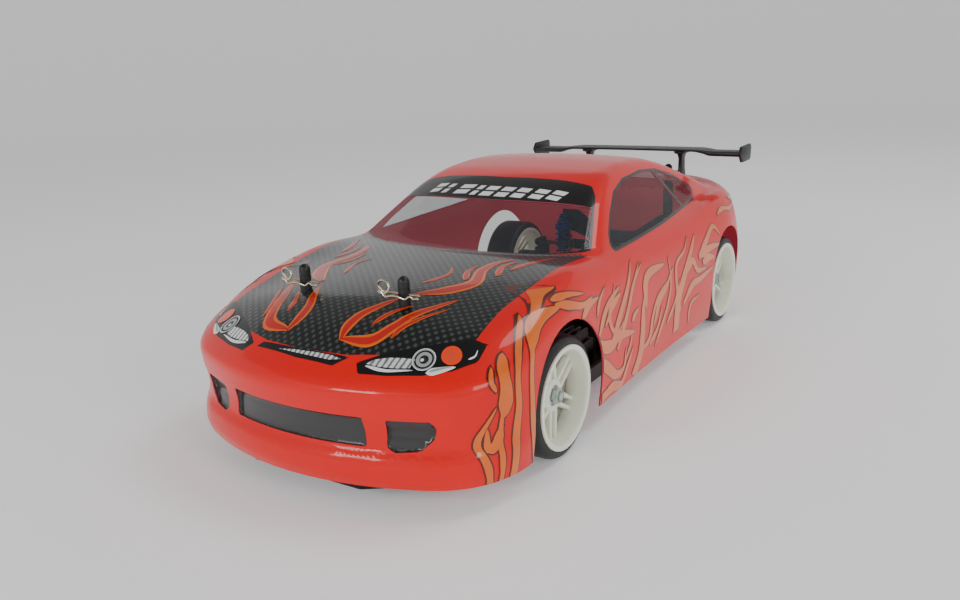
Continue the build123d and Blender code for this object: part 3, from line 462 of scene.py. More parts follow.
centre = points[triangles].mean(1)
keep = arch_field(centre) < 0
triangles, centre = triangles[keep], centre[keep]
region = np.zeros(len(triangles), int)                     # 0 paint
region[bonnet_field(centre) < 0] = 1                       # 1 carbon film
for field in (screen_field, rear_screen_field, side_glass_field):
    region[field(centre) < MASK_WIDTH] = 2                 # 2 black mask
region[lamp_field(centre) < 0] = 2
region[slot_field(centre) < 0] = 2
region[intake_field(centre) < 0] = 3                       # 3 dark intake
clear = np.minimum(np.minimum(screen_field(centre), rear_screen_field(centre)), side_glass_field(centre)) < 0
clear &= ~((screen_field(centre) < 0) & (strip_field(centre) > 0))
clear &= ~((side_glass_field(centre) < 0) & (pillar_field(centre) < 0))


# Polycarbonate paint sprayed on the inside of the clear shell: the sheet itself is the gloss, so the surface is
# mirror-smooth with a thin even coat and the red beneath has only a faint cloudiness from the spray passes.
red_paint, red_tree, red_shader = material(
    "red_painted_polycarbonate", "#EC0404", 0.42, IOR=1.25, Coat_Weight=0.6, Coat_Roughness=0.045)
red_shader.inputs["Coat IOR"].default_value = 1.42
spray = node(red_tree, "ShaderNodeTexNoise", {"Scale": 14.0, "Detail": 3.0},
             Vector=node(red_tree, "ShaderNodeTexCoord").outputs["Object"])
red_mix = node(red_tree, "ShaderNodeMix", {"data_type": "RGBA"}, _0=spray.outputs["Fac"])
red_mix.inputs[6].default_value = linear("#E40202")
red_mix.inputs[7].default_value = linear("#F40806")
red_tree.links.new(red_mix.outputs[2], red_shader.inputs["Base Color"])

# The paint's back, seen through the windows: matt and paler, because the pigment is thin there, with a faint glow of
# its own that is painted light, brightening the inside of the shell.
inner_paint_painted_glow, _, inner_glow_shader = material("paint_back", "#D8485A", 0.6, Emission_Strength=0.16)
# painted glow: this emission lights the inside of the shell as if light reached it
inner_glow_shader.inputs["Emission Color"].default_value = linear("#C8404E")

black_mask, _, mask_shader = material(
    "black_mask_film", "#060607", 0.35, IOR=1.35, Coat_Weight=0.6, Coat_Roughness=0.04)
mask_shader.inputs["Coat IOR"].default_value = 1.4
intake_black = material("intake_black_paint", "#1E1E1F", 0.35, IOR=1.5, Coat_Weight=0.6, Coat_Roughness=0.1)[0]

# Carbon-look film: a printed plain weave of 2.4 mm tows under clear vinyl. The tows that run along the car catch
# the light and those that cross it stay black, and each tow is rounded, so its middle is the brightest.
TOW = 2.4
carbon, carbon_tree, carbon_shader = material(
    "carbon_weave_film", "#101113", 0.35, IOR=1.4, Coat_Weight=0.8, Coat_Roughness=0.08)
carbon_shader.inputs["Coat IOR"].default_value = 1.4
carbon_split = node(carbon_tree, "ShaderNodeSeparateXYZ",
                    Vector=node(carbon_tree, "ShaderNodeTexCoord").outputs["Object"])


def carbon_math(operation, a, b=0.0):
    """One step of the weave's arithmetic."""
    made = node(carbon_tree, "ShaderNodeMath", {"operation": operation})
    for i, value in enumerate((a, b)):
        if isinstance(value, (int, float)):
            made.inputs[i].default_value = value
        else:
            carbon_tree.links.new(value, made.inputs[i])
    return made.outputs[0]


across = carbon_math("SINE", carbon_math("MULTIPLY", carbon_split.outputs["X"], pi / (TOW * MM)))
along = carbon_math("SINE", carbon_math("MULTIPLY", carbon_split.outputs["Y"], pi / (TOW * MM)))
lit_tow = carbon_math("MAXIMUM", carbon_math("MULTIPLY", across, along), 0.0)
tow_shade = node(carbon_tree, "ShaderNodeValToRGB", None, Fac=carbon_math("POWER", lit_tow, 0.7))
tow_shade.color_ramp.elements[0].color = linear("#050606")
tow_shade.color_ramp.elements[0].position = 0.15
tow_shade.color_ramp.elements[1].color = linear("#454B4A")
tow_shade.color_ramp.elements[1].position = 0.95
carbon_tree.links.new(tow_shade.outputs["Color"], carbon_shader.inputs["Base Color"])
tow_bump = node(carbon_tree, "ShaderNodeBump", {"Strength": 0.15, "Distance": 0.0002}, Height=lit_tow)
carbon_tree.links.new(tow_bump.outputs["Normal"], carbon_shader.inputs["Normal"])

body_materials = [red_paint, carbon, black_mask, intake_black, inner_paint_painted_glow]


def border_of(faces):
    """The edges that only one triangle uses, in that triangle's direction."""
    edges = {(int(f[i]), int(f[i - 2])) for f in faces for i in range(3)}
    return [(a, b) for a, b in edges if (b, a) not in edges]


def shell_piece(chosen, wall):
    """A region of the shell with its thickness: the outer skin, the inner skin and the walls between them."""
    p, t = trimmed(points, triangles, chosen)
    n = skin_normals(p)
    count = len(p)
    walls = [(b, a, a + count, b + count) for a, b in border_of(t)]
    faces = [tuple(f) for f in t] + [tuple(int(v) + count for v in reversed(f)) for f in t] + walls
    kind = list(region[chosen]) + [4] * (len(t) + len(walls))
    return np.vstack([p, p - n * wall]), faces, kind, np.vstack([n, -n])


intake = region == 3
shell_p, shell_f, shell_kind, shell_n = shell_piece(~clear & ~intake, SHELL_WALL)
shell = mesh_object("coupe_shell", shell_p, shell_f, body_materials, shell_kind, shell_n)
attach(shell, "chassis")
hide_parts("body_shell")

# Clear windows: the same sheet left unpainted, lightly smoked.
smoke = material("smoked_polycarbonate", "#4C545A", 0.04, IOR=1.5, Alpha=0.2, Specular_IOR_Level=0.7)[0]
glass_p, glass_f, _, glass_n = shell_piece(clear, SHELL_WALL * 0.6)
glass = mesh_object("clear_windows", glass_p, glass_f, [smoke], [0] * len(glass_f), glass_n)
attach(glass, "chassis")
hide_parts("windows")

# The bumper's intakes are moulded pockets painted dark: a floor set back behind the skin, creased along its
# upper third, and a short wall round it.
pocket_p, pocket_t = trimmed(points, triangles, intake)
pocket_n = skin_normals(pocket_p)
crease = np.abs(pocket_p[:, 2] - 43.0 + np.where(np.abs(pocket_p[:, 0]) > 46, 4.5, 0.0))
sunk = pocket_p - pocket_n * (1.5 + 0.9 * np.exp(-((crease / 2.2) ** 2)))[:, None]
pocket_faces = [tuple(int(v) for v in f) for f in pocket_t]
walls = [(b, a, a + len(sunk), b + len(sunk)) for a, b in border_of(pocket_t)]
pocket = mesh_object("bumper_intakes", np.vstack([sunk, pocket_p]),
                     pocket_faces + [(a, b, c, d) for a, b, c, d in walls], [intake_black], None, None)
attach(pocket, "chassis")

# ================================================================ headlamps, slot and sun strip prints
# Printed vinyl stickers on the outside of the shell: silver lens, projector ring, orange indicator, a silver wedge in
# the slot between bonnet and bumper, and slanted white bars on the black sun strip. Two white streaks on each
# headlamp, one below the projector and one at the outer tip, are painted highlights laid on as white and grey ink.
PRINT_LIFT = 0.12            # each layer of sticker stands this far above the one under it


def on_skin(flat, view, layer):
    """Points drawn flat on one view of the car ("plan", "side" or "back"), laid on the skin under a layer."""
    flat = np.asarray(flat, float)
    zero = np.zeros(len(flat))
    if view == "plan":
        start = np.stack([flat[:, 0], flat[:, 1] + MIDDLE, zero + 50], -1)
        way = np.tile([0.0, 0, 1], (len(flat), 1))
    elif view == "back":
        start = np.stack([flat[:, 0], zero + 120, flat[:, 1]], -1)
        way = np.tile([0.0, 1, 0], (len(flat), 1))
    else:
        start = np.stack([zero + 20, flat[:, 0] + MIDDLE, flat[:, 1]], -1)
        way = np.tile([1.0, 0, 0], (len(flat), 1))
    found = skin_points(start, way, 0.0, 120.0)
    return found + skin_normals(found) * (PRINT_LIFT * layer)


class Stickers:
    """Sticker faces gathered from many shapes, each with its material's number."""

    def __init__(self):
        self.points, self.faces, self.kinds = [], [], []

    def add(self, points, faces, kind):
        base = sum(len(p) for p in self.points)
        self.points.append(points)
        self.faces += [tuple(v + base for v in f) for f in faces]
        self.kinds += [kind] * len(faces)

    def patch(self, outline, view, layer, kind, rings=6):
        """A filled shape, given by its outline, that can be seen whole from its middle."""
        outline = np.asarray(outline, float)
        middle = outline.mean(0)
        n = len(outline)
        flat = [middle] + [middle + (q - middle) * k / rings for k in range(1, rings + 1) for q in outline]
        faces = [(0, 1 + i, 1 + (i + 1) % n) for i in range(n)]
        for k in range(rings - 1):
            a, b = 1 + k * n, 1 + (k + 1) * n
            for i in range(n):
                j = (i + 1) % n
                faces += [(a + i, b + i, b + j), (a + i, b + j, a + j)]
        self.add(on_skin(flat, view, layer), faces, kind)

    def ring(self, centre, radius, width, view, layer, kind, segments=40):
        """A flat ring."""
        turn = np.linspace(0, 2 * pi, segments, endpoint=False)
        circle = np.stack([np.cos(turn), np.sin(turn)], -1)
        flat = np.vstack([np.array(centre) + circle * (radius - width), np.array(centre) + circle * radius])
        faces = []
        for i in range(segments):
            j = (i + 1) % segments
            faces += [(i, segments + i, segments + j), (i, segments + j, j)]
        self.add(on_skin(flat, view, layer), faces, kind)

    def lick(self, path, width, view, layer, kind, blunt=0.0, grow=0.0):
        """One tongue of flame along a path: it swells from its root and runs out to a point."""
        path = np.asarray(path, float)
        knots = np.concatenate([[0], np.cumsum(np.linalg.norm(np.diff(path, axis=0), axis=1))])
        n = max(14, int(knots[-1] / 1.3))
        at = np.linspace(0, knots[-1], n)
        ends = np.vstack([2 * path[0] - path[1], path, 2 * path[-1] - path[-2]])
        i = np.clip(np.searchsorted(knots, at, side="right") - 1, 0, len(path) - 2)
        t = ((at - knots[i]) / (knots[i + 1] - knots[i]))[:, None]
        a, b, c, d = ends[i], ends[i + 1], ends[i + 2], ends[i + 3]
        line = b + 0.5 * t * (c - a + t * (2 * a - 5 * b + 4 * c - d + t * (3 * (b - c) + d - a)))
        run = np.gradient(line, axis=0)
        normal = np.stack([-run[:, 1], run[:, 0]], -1) / np.maximum(np.linalg.norm(run, axis=1), 1e-6)[:, None]
        s = np.linspace(0, 1, n)
        root = np.maximum(blunt, np.sqrt(np.clip(s / 0.22, 0, 1)))
        half = width / 2 * root * np.sqrt(np.clip((1 - s) / 0.75, 0, 1)) + grow
        line[0] -= run[0] / np.linalg.norm(run[0]) * grow
        line[-1] += run[-1] / np.linalg.norm(run[-1]) * grow * 2
        half[-1] = 0.05
        flat = np.vstack([line + normal * half[:, None], line, line - normal * half[:, None]])
        faces = []
        for k in range(n - 1):
            for lane in (0, n):
                faces += [(lane + k, lane + k + 1, lane + n + k + 1), (lane + k, lane + n + k + 1, lane + n + k)]
        self.add(on_skin(flat, view, layer), faces, kind)

    def build(self, name, materials, mirror=True):
        """The stickers as one mesh with every face turned outwards, and their mirror images if asked for."""
        p, t, kind = np.vstack(self.points), np.array(self.faces), np.array(self.kinds)
        pieces = []
        for k in np.unique(kind):
            q, f = p, t[kind == k]
            q, f = cut(q, f, lambda r: arch_field(r) + 0.2)
            q, f = cut(q, f, lambda r: SKIRT + 0.2 - r[:, 2])
            centre = q[f].mean(1)
            keep = (arch_field(centre) < -0.2) & (centre[:, 2] > SKIRT + 0.2)
            q, f = trimmed(q, f, keep)
            pieces.append((q, f, k))
            if mirror:
                pieces.append((q * [-1, 1, 1], f, k))
        points, faces, kinds, base = [], [], [], 0
        for q, f, k in pieces:
            n = skin_normals(q)
            a, b, c = q[f[:, 0]], q[f[:, 1]], q[f[:, 2]]
            wrong = (np.cross(b - a, c - a) * n[f[:, 0]]).sum(1) < 0
            f = np.where(wrong[:, None], f[:, ::-1], f)
            points.append(q)
            faces += [tuple(int(v) + base for v in tri) for tri in f]
            kinds += [k] * len(f)
            base += len(q)
        points = np.vstack(points)
        return mesh_object(name, points, faces, materials, kinds, skin_normals(points))


silver_print, silver_tree, silver_shader = material(
    "silver_lens_print", "#C9CDCC", 0.25, 0.3, IOR=1.5, Coat_Weight=1.0, Coat_Roughness=0.03)
ribs = node(silver_tree, "ShaderNodeTexWave", {"bands_direction": "X", "Scale": 110.0, "Distortion": 1.5,
                                               "Detail": 2.0, "Detail Scale": 3.0},
            Vector=node(silver_tree, "ShaderNodeTexCoord").outputs["Object"])
rib_shade = node(silver_tree, "ShaderNodeValToRGB", None, Fac=ribs.outputs["Fac"])
rib_shade.color_ramp.elements[0].color = linear("#6F7675")
rib_shade.color_ramp.elements[1].color = linear("#FFFFFF")
rib_shade.color_ramp.elements[1].position = 0.75
silver_tree.links.new(rib_shade.outputs["Color"], silver_shader.inputs["Base Color"])

# Printed inks under clear vinyl: each has the film's even gloss and a faint mottle of the print. The white and grey
# inks also carry the headlamps' painted highlights.


def ink(name, colour, other, rough=0.3):
    """A printed ink whose colour wanders slightly between two tones."""
    made, tree, shader = material(name, colour, rough, IOR=1.4, Coat_Weight=0.8, Coat_Roughness=0.05)
    shader.inputs["Coat IOR"].default_value = 1.42
    mottle = node(tree, "ShaderNodeTexNoise", {"Scale": 60.0, "Detail": 3.0},
                  Vector=node(tree, "ShaderNodeTexCoord").outputs["Object"])
    tones = node(tree, "ShaderNodeMix", {"data_type": "RGBA"}, _0=mottle.outputs["Fac"])
    tones.inputs[6].default_value, tones.inputs[7].default_value = linear(colour), linear(other)
    tree.links.new(tones.outputs[2], shader.inputs["Base Color"])
    return made


white_ink = ink("white_ink", "#FFFFFF", "#E9ECEA")
black_ink = ink("black_ink", "#0A0A0B", "#141416")
amber_ink = ink("amber_lens_ink", "#FF3806", "#FF5410")
grey_ink = ink("grey_ink", "#8E9492", "#B9BEBC")

prints = Stickers()
# kinds: 0 silver, 1 white, 2 black, 3 amber, 4 grey
prints.patch([(37.5, -213.6), (44, -213), (52, -211), (58, -208.6), (58, -204), (52, -205.6), (46, -207.6),
              (40, -210.6)], "plan", 1, 0)
prints.lick([(38, -214.6), (48, -213.6), (60, -209)], 1.6, "plan", 2, 1, blunt=0.4)
# painted highlight: a white streak with a grey core below the projector, standing in for light reflected off the lamp
prints.lick([(66, -207.8), (71, -204.2), (76.5, -199.5)], 3.4, "plan", 2, 1)
prints.lick([(67, -206.8), (72, -202.6), (75, -200.2)], 1.2, "plan", 3, 4)
prints.ring((61.8, -202.6), 5.4, 0.9, "plan", 2, 4)
prints.ring((61.8, -202.6), 5.4, 0.35, "plan", 3, 1)
prints.ring((61.8, -202.6), 3.7, 1.6, "plan", 2, 4)
prints.ring((61.8, -202.6), 2.0, 2.0, "plan", 2, 2)
prints.ring((61.2, -203.2), 0.8, 0.8, "plan", 3, 1)
prints.ring((72.0, -195.6), 4.7, 4.7, "plan", 2, 3)
# painted highlight: a thin white arc at the lamp's outer tip
prints.lick([(79.3, -193.6), (81, -190.6), (80.6, -187.4)], 0.9, "plan", 2, 1)
headlamp_prints_and_highlights = prints.build("headlamp_prints", [silver_print, white_ink, black_ink, amber_ink, grey_ink])
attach(headlamp_prints_and_highlights, "chassis")

middle_prints = Stickers()
middle_prints.patch([(-14, -216.3), (-4, -216.9), (8, -217.0), (18, -216.8), (24, -215.0), (18, -214.4), (8, -214.9),
                     (-4, -215.5)], "plan", 1, 0)
BAR_SLANT = 3.2
for start, stop in ((-47, -40), (-37, -33), (-27, -17), (-14, -10), (-7, 1), (4, 12), (15, 23), (27, 35), (38, 46)):
    y0, y1 = SUN_STRIP_EDGE + 3.0 + 8.0 * (start / 60) ** 2, SUN_STRIP_EDGE + 13.5 + 6.0 * (start / 60) ** 2
    for low, high in ((y0, y0 + (y1 - y0) * 0.42), (y0 + (y1 - y0) * 0.58, y1)):
        lean = BAR_SLANT * (low - y0) / (y1 - y0), BAR_SLANT * (high - y0) / (y1 - y0)
        middle_prints.patch([(start + lean[0], low), (stop + lean[0], low), (stop + lean[1], high),
                             (start + lean[1], high)], "plan", 1, 1, rings=4)
strip_prints = middle_prints.build("sun_strip_prints", [silver_print, white_ink], mirror=False)
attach(strip_prints, "chassis")

# ================================================================ tail lamp prints
# Tail lamps and number plate: printed stickers on the flat of the tail, a dark surround with a red lamp and a
# smaller amber one in it, and a plain black plate in the middle of the bumper.
def stepped(outline, step=2.5):
    """The same outline with points at most step mm apart, so that a long edge follows the curve of the skin."""
    points = []
    for (x0, z0), (x1, z1) in zip(outline, outline[1:] + outline[:1]):
        count = max(1, int(np.ceil(np.hypot(x1 - x0, z1 - z0) / step)))
        points += [(x0 + (x1 - x0) * i / count, z0 + (z1 - z0) * i / count) for i in range(count)]
    return points


tail_red = ink("tail_lamp_ink", "#7C0206", "#960608")
tail_prints = Stickers()
tail_prints.patch(stepped([(30, 62), (76, 62), (77, 75), (33, 75)]), "back", 1, 2, rings=12)
tail_prints.patch(stepped([(33, 64), (58, 64), (58, 73), (35, 73)]), "back", 2, 0, rings=12)
tail_prints.patch(stepped([(61, 64), (73.5, 64), (74, 73), (61, 73)]), "back", 2, 1, rings=12)
tail_lamps = tail_prints.build("tail_lamp_prints", [tail_red, amber_ink, black_ink])
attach(tail_lamps, "chassis")
plate_print = Stickers()
plate_print.patch(stepped([(-23, 36), (23, 36), (23, 48), (-23, 48)]), "back", 1, 0, rings=12)
plate = plate_print.build("plate_print", [black_ink], mirror=False)
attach(plate, "chassis")

# ================================================================ flame stickers
# Die-cut flame stickers: orange tongues edged in dark red along the flanks, and red tongues edged in orange on
# the bonnet film, the same on both sides of the car.
flame_orange = ink("flame_orange_ink", "#E85A00", "#F27A04")
flame_edge = ink("flame_edge_ink", "#4A0A05", "#63130A")
flame_red = ink("flame_red_ink", "#D8160A", "#B5100A")

# Each tongue: its width, its path from root to tip, and how blunt its root is. Sides are (y, z) from the middle of
# the wheelbase, the bonnet is (x, y).
SIDE_TONGUES = (
    (3.0, [(-137, 84), (-124, 84), (-108, 81)], 0.2), (4.5, [(-137, 82), (-124, 79), (-112, 76), (-99, 77)], 0.2),
    (4.5, [(-116, 70), (-105, 74), (-92, 75)], 0.1), (3.0, [(-97, 66), (-92, 72), (-82, 78)], 0.4),
    (4.5, [(-97, 55), (-88, 64), (-79, 69), (-63, 74)], 0.6),
    (5.5, [(-80, 46), (-66, 59), (-52, 71), (-41, 83)], 0.6),
    (4.5, [(-72, 40), (-57, 56), (-46, 68), (-31, 80)], 0.6), (3.0, [(-56, 58), (-44, 70), (-27, 79)], 0.3),
    (4.5, [(-63, 70), (-80, 64), (-79, 54), (-70, 50), (-62, 54)], 0.2),
    (7.5, [(-99, 50), (-82, 45), (-69, 47), (-46, 43)], 0.9), (7.0, [(-99, 42), (-86, 34), (-72, 25), (-61, 26),
     (-59, 37)], 0.9), (6.5, [(-90, 17), (-76, 19), (-62, 16), (-55, 25), (-48, 34)], 0.9),
    (4.0, [(-50, 50), (-45, 53), (-39, 55)], 0.3),
    (9.0, [(-42, 14), (-35, 25), (-33, 38), (-32, 52), (-25, 64)], 1.0),
    (4.5, [(-36, 27), (-21, 31), (-17, 43), (-8, 53), (11, 60)], 0.5), (7.0, [(-27, 52), (-26, 66), (-16, 71),
     (7, 71)], 0.3), (4.0, [(-10, 23), (0, 34), (9, 45), (15, 58), (14, 74)], 0.4),
    (5.0, [(-14, 38), (-6, 50), (6, 56), (20, 66)], 0.4),
    (9.0, [(26, 22), (27, 42), (38, 56), (50, 67), (63, 79)], 1.0),
    (4.0, [(32, 34), (25, 50), (26, 66), (41, 72), (50, 80)], 0.5),
    (5.5, [(37, 38), (52, 47), (68, 48), (92, 51)], 0.6),
    (5.5, [(66, 63), (80, 70), (98, 78), (110, 70)], 0.8), (6.0, [(66, 63), (86, 65), (108, 64)], 0.5),
    (6.5, [(72, 58), (84, 59), (96, 57)], 0.4), (5.0, [(42, 57), (54, 63), (62, 55), (78, 53)], 0.4),
    (3.0, [(48, 22), (50, 34), (66, 37)], 0.4), (3.0, [(-58, 30), (-52, 38), (-50, 46)], 0.3),
    (4.0, [(-20, 27), (-8, 34), (-2, 46)], 0.3), (3.5, [(8, 32), (20, 42), (30, 56)], 0.3),
    (3.0, [(-88, 58), (-76, 66), (-70, 76)], 0.3), (3.0, [(112, 84), (126, 86), (142, 84), (160, 86)], 0.2),
    (3.0, [(150, 90), (166, 88), (184, 90)], 0.2),
)
CORNER_TONGUES = (
    (4.0, [(-166, 10), (-170, 30), (-171, 52), (-167, 68), (-156, 79), (-140, 86), (-126, 88)], 1.0),
    (6.0, [(-168, 68), (-160, 76), (-150, 80), (-134, 81)], 0.2),
    (4.5, [(-184, 12), (-183, 27), (-181, 45), (-180, 62), (-170, 74), (-158, 82)], 1.0),
    (3.0, [(-191, 12), (-191, 28), (-190, 44), (-190, 57)], 0.8), (7.5, [(-189, 44), (-188, 55), (-187, 64),
     (-181, 71)], 0.1), (2.2, [(-193, 57), (-194, 62), (-190, 67)], 0.2),
    (3.4, [(-196, 12), (-198, 22), (-200, 33), (-197, 41), (-193, 50)], 0.8),
    (4.4, [(-190, 40), (-192, 33), (-196, 30), (-196, 40)], 0.5),
)
BONNET_TONGUES = (
    (6.5, [(17, -206.5), (15.5, -199), (17, -190), (22, -181), (27, -170)], 0.3),
    (7.0, [(17, -206), (32, -203), (38, -193), (42, -182), (53, -160)], 0.3),
    (3.0, [(27, -195), (30, -186), (37, -175)], 0.3), (3.0, [(41, -199), (43, -190), (54, -170)], 0.3),
    (9.0, [(31, -164), (42, -154), (49, -140), (44, -124), (45, -111), (51, -102)], 0.3),
    (3.6, [(43, -139), (38, -128), (38, -118)], 0.3), (4.0, [(55, -127), (51, -115), (54, -104)], 0.3),
    (3.8, [(57, -117), (60, -106), (68, -88)], 0.3), (3.0, [(26, -152), (31, -137), (27, -126)], 0.3),
)

flames = Stickers()
for width, path, blunt in SIDE_TONGUES + CORNER_TONGUES:
    flames.lick(path, width, "side", 1, 0, blunt, grow=0.65)
    flames.lick(path, width, "side", 2, 1, blunt)
for width, path, blunt in BONNET_TONGUES:
    flames.lick(path, width, "plan", 1, 1, blunt)
    flames.lick(path, width * 0.55, "plan", 2, 2, blunt)
flame_stickers = flames.build("flame_stickers", [flame_edge, flame_orange, flame_red])
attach(flame_stickers, "chassis")

# ================================================================ wheels
# One-piece moulded rims in glow-white nylon, with a deep flat lip and six twin spokes round a hub disc, slick
# black drift tyres pressed on them, and a flanged lock nut on each axle.
RIM_LIP, RIM_SEAT, RIM_BORE, DISH, SPOKE_DEPTH = 27.2, 26.2, 24.5, 8.0, 4.0
SPOKE_PAIRS, SPOKE_GAP, SPOKE_WIDTH, HUB_RADIUS = 6, 5.4, 2.3, 8.6


def turned(profile, segments=96):
    """Points and faces of a closed profile of (x, radius) turned round the x axis."""
    turn = np.linspace(0, 2 * pi, segments, endpoint=False)
    n = len(profile)
    points = [(x, r * cos(a), r * sin(a)) for a in turn for x, r in profile]
    faces = []
    for i in range(segments):
        for j in range(n):
            a, b = i * n + j, i * n + (j + 1) % n
            c, d = ((i + 1) % segments) * n + (j + 1) % n, ((i + 1) % segments) * n + j
            faces.append((a, b, c, d))
    return points, faces


def rounded(profile, radius, steps=3):
    """A closed profile with each corner rounded by up to radius."""
    result = []
    for i, corner in enumerate(profile):
        corner = np.array(corner, float)
        before, after = np.array(profile[i - 1], float), np.array(profile[(i + 1) % len(profile)], float)
        u, v = before - corner, after - corner
        reach = min(radius, 0.45 * np.linalg.norm(u), 0.45 * np.linalg.norm(v))
        a = corner + u / np.linalg.norm(u) * reach
        b = corner + v / np.linalg.norm(v) * reach
        for s in np.linspace(0, 1, steps + 1):
            result.append(tuple(a * (1 - s) ** 2 + corner * 2 * s * (1 - s) + b * s * s))
    return result


def clean_mesh(name, parts, materials):
    """One mesh object from several (points, faces, material number) parts, its faces turned outwards."""
    points, faces, kinds = [], [], []
    for part_points, part_faces, kind in parts:
        base = len(points)
        points += list(part_points)
        faces += [tuple(v + base for v in f) for f in part_faces]
        kinds += [kind] * len(part_faces)
    made = mesh_object(name, points, faces, materials, kinds)
    work = bmesh.new()
    work.from_mesh(made.data)
    bmesh.ops.remove_doubles(work, verts=work.verts, dist=1e-7)
    bmesh.ops.recalc_face_normals(work, faces=work.faces)
    work.to_mesh(made.data)
    work.free()
    return made


def sharpen(made, angle=35):
    """Keep edges sharper than angle crisp and shade the rest smooth."""
    made.data.set_sharp_from_angle(angle=radians(angle))
    return made


# Glow nylon: a slightly translucent, waxy, greenish white with a soft moulded sheen.
glow_nylon, glow_tree, glow_shader = material(
    "glow_white_nylon", "#FAFCEA", 0.42, IOR=1.53, Subsurface_Weight=0.25, Subsurface_Scale=0.003)
glow_tone = node(glow_tree, "ShaderNodeTexNoise", {"Scale": 40.0, "Detail": 2.0},
                 Vector=node(glow_tree, "ShaderNodeTexCoord").outputs["Object"])
glow_mix = node(glow_tree, "ShaderNodeMix", {"data_type": "RGBA"}, _0=glow_tone.outputs["Fac"])
glow_mix.inputs[6].default_value, glow_mix.inputs[7].default_value = linear("#F6F9E0"), linear("#FEFFF4")
glow_tree.links.new(glow_mix.outputs[2], glow_shader.inputs["Base Color"])

# Drift tyre: hard black rubber, turned smooth, so it has a dull sheen with a very fine grain.
slick_rubber, rubber_tree, rubber_shader = material("slick_tyre_rubber", "#0E0E0F", 0.5, IOR=1.52)
grain = node(rubber_tree, "ShaderNodeTexNoise", {"Scale": 900.0, "Detail": 4.0},
             Vector=node(rubber_tree, "ShaderNodeTexCoord").outputs["Object"])
grain_bump = node(rubber_tree, "ShaderNodeBump", {"Strength": 0.2, "Distance": 0.0002}, Height=grain.outputs["Fac"])
rubber_tree.links.new(grain_bump.outputs["Normal"], rubber_shader.inputs["Normal"])
grain_rough = node(rubber_tree, "ShaderNodeMapRange", {"From Min": 0.3, "From Max": 0.7, "To Min": 0.42,
                                                       "To Max": 0.6}, Value=grain.outputs["Fac"])
rubber_tree.links.new(grain_rough.outputs["Result"], rubber_shader.inputs["Roughness"])

# Zinc-plated steel: bright, cool silver, with fine scratches from the wrench.
zinc_steel, zinc_tree, zinc_shader = material("zinc_plated_steel", "#C9CDD0", 0.28, 1.0)
zinc_noise = node(zinc_tree, "ShaderNodeTexNoise", {"Scale": 500.0, "Detail": 5.0},
                  Vector=node(zinc_tree, "ShaderNodeTexCoord").outputs["Object"])
zinc_rough = node(zinc_tree, "ShaderNodeMapRange", {"To Min": 0.18, "To Max": 0.4},
                  Value=zinc_noise.outputs["Fac"])
zinc_tree.links.new(zinc_rough.outputs["Result"], zinc_shader.inputs["Roughness"])

# Lock nut insert: translucent green nylon.
nut_nylon = material("lock_nut_nylon", "#7FA08A", 0.45, IOR=1.53)[0]


def spoke_tree():
    """Geometry Nodes: the modelled pair of spokes, repeated in a ring round the x axis."""
    tree = bpy.data.node_groups.new("spoke_ring", "GeometryNodeTree")
    face = tree.interface
    face.new_socket("Geometry", in_out="INPUT", socket_type="NodeSocketGeometry")
    face.new_socket("Pairs", in_out="INPUT", socket_type="NodeSocketInt")
    face.new_socket("Material", in_out="INPUT", socket_type="NodeSocketMaterial")
    face.new_socket("Geometry", in_out="OUTPUT", socket_type="NodeSocketGeometry")
    given = node(tree, "NodeGroupInput")
    ring = node(tree, "GeometryNodeMeshLine", {"Offset": (0, 0, 0)}, Count=given.outputs["Pairs"])
    step = node(tree, "ShaderNodeMath", {"operation": "DIVIDE", 0: 2 * pi}, _1=given.outputs["Pairs"])
    index = node(tree, "GeometryNodeInputIndex").outputs[0]
    angle = node(tree, "ShaderNodeMath", {"operation": "MULTIPLY"}, _0=index,
                 _1=step.outputs[0])
    euler = node(tree, "ShaderNodeCombineXYZ", None, X=angle.outputs[0])
    turn_by = node(tree, "FunctionNodeEulerToRotation", None, Euler=euler.outputs[0])
    placed = node(tree, "GeometryNodeInstanceOnPoints", None, Points=ring.outputs[0],
                  Instance=given.outputs["Geometry"], Rotation=turn_by.outputs[0])
    real = node(tree, "GeometryNodeRealizeInstances", None, Geometry=placed.outputs[0])
    painted = node(tree, "GeometryNodeSetMaterial", None, Geometry=real.outputs[0],
                   Material=given.outputs["Material"])
    node(tree, "NodeGroupOutput", None, Geometry=painted.outputs[0])
    return tree


def grown(made, tree, **values):
    """Run a Geometry Nodes tree on made with the named inputs, and leave the result as its plain mesh."""
    modifier = made.modifiers.new(tree.name, "NODES")
    modifier.node_group = tree
    for item in tree.interface.items_tree:
        name = item.name.lower().replace(" ", "_")
        if item.in_out == "INPUT" and name in values:
            modifier[item.identifier] = values[name]
    bpy.context.view_layer.update()
    mesh = bpy.data.meshes.new_from_object(made.evaluated_get(bpy.context.evaluated_depsgraph_get()))
    made.modifiers.remove(modifier)
    old, made.data = made.data, mesh
    bpy.data.meshes.remove(old)
    return made


def spoke_pair():
    """Two parallel spokes that reach up from the hub, their front edges rounded and their faces sloping back."""
    parts = []
    for y in (-SPOKE_GAP / 2, SPOKE_GAP / 2):
        sections = []
        for r, face_x, half in ((6.5, 0.2, 1.25), (14, -0.1, 1.1), (22, -0.4, 1.1), (24.6, -0.5, 1.35)):
            w = SPOKE_WIDTH / 2 * half / 1.1
            profile = rounded([(-DISH - SPOKE_DEPTH, y - w * 1.15), (-DISH - SPOKE_DEPTH, y + w * 1.15),
                               (-DISH + face_x, y + w * 0.85), (-DISH + face_x, y - w * 0.85)], 0.45, 3)
            sections.append([(x, v, r) for x, v in profile])
        n = len(sections[0])
        points = [q for section in sections for q in section]
        faces = [(k * n + i, k * n + (i + 1) % n, (k + 1) * n + (i + 1) % n, (k + 1) * n + i)
                 for k in range(len(sections) - 1) for i in range(n)]
        faces += [tuple(range(n))[::-1], tuple(range((len(sections) - 1) * n, len(sections) * n))]
        parts.append((points, faces, 0))
    return clean_mesh("spoke_pair", parts, [glow_nylon])


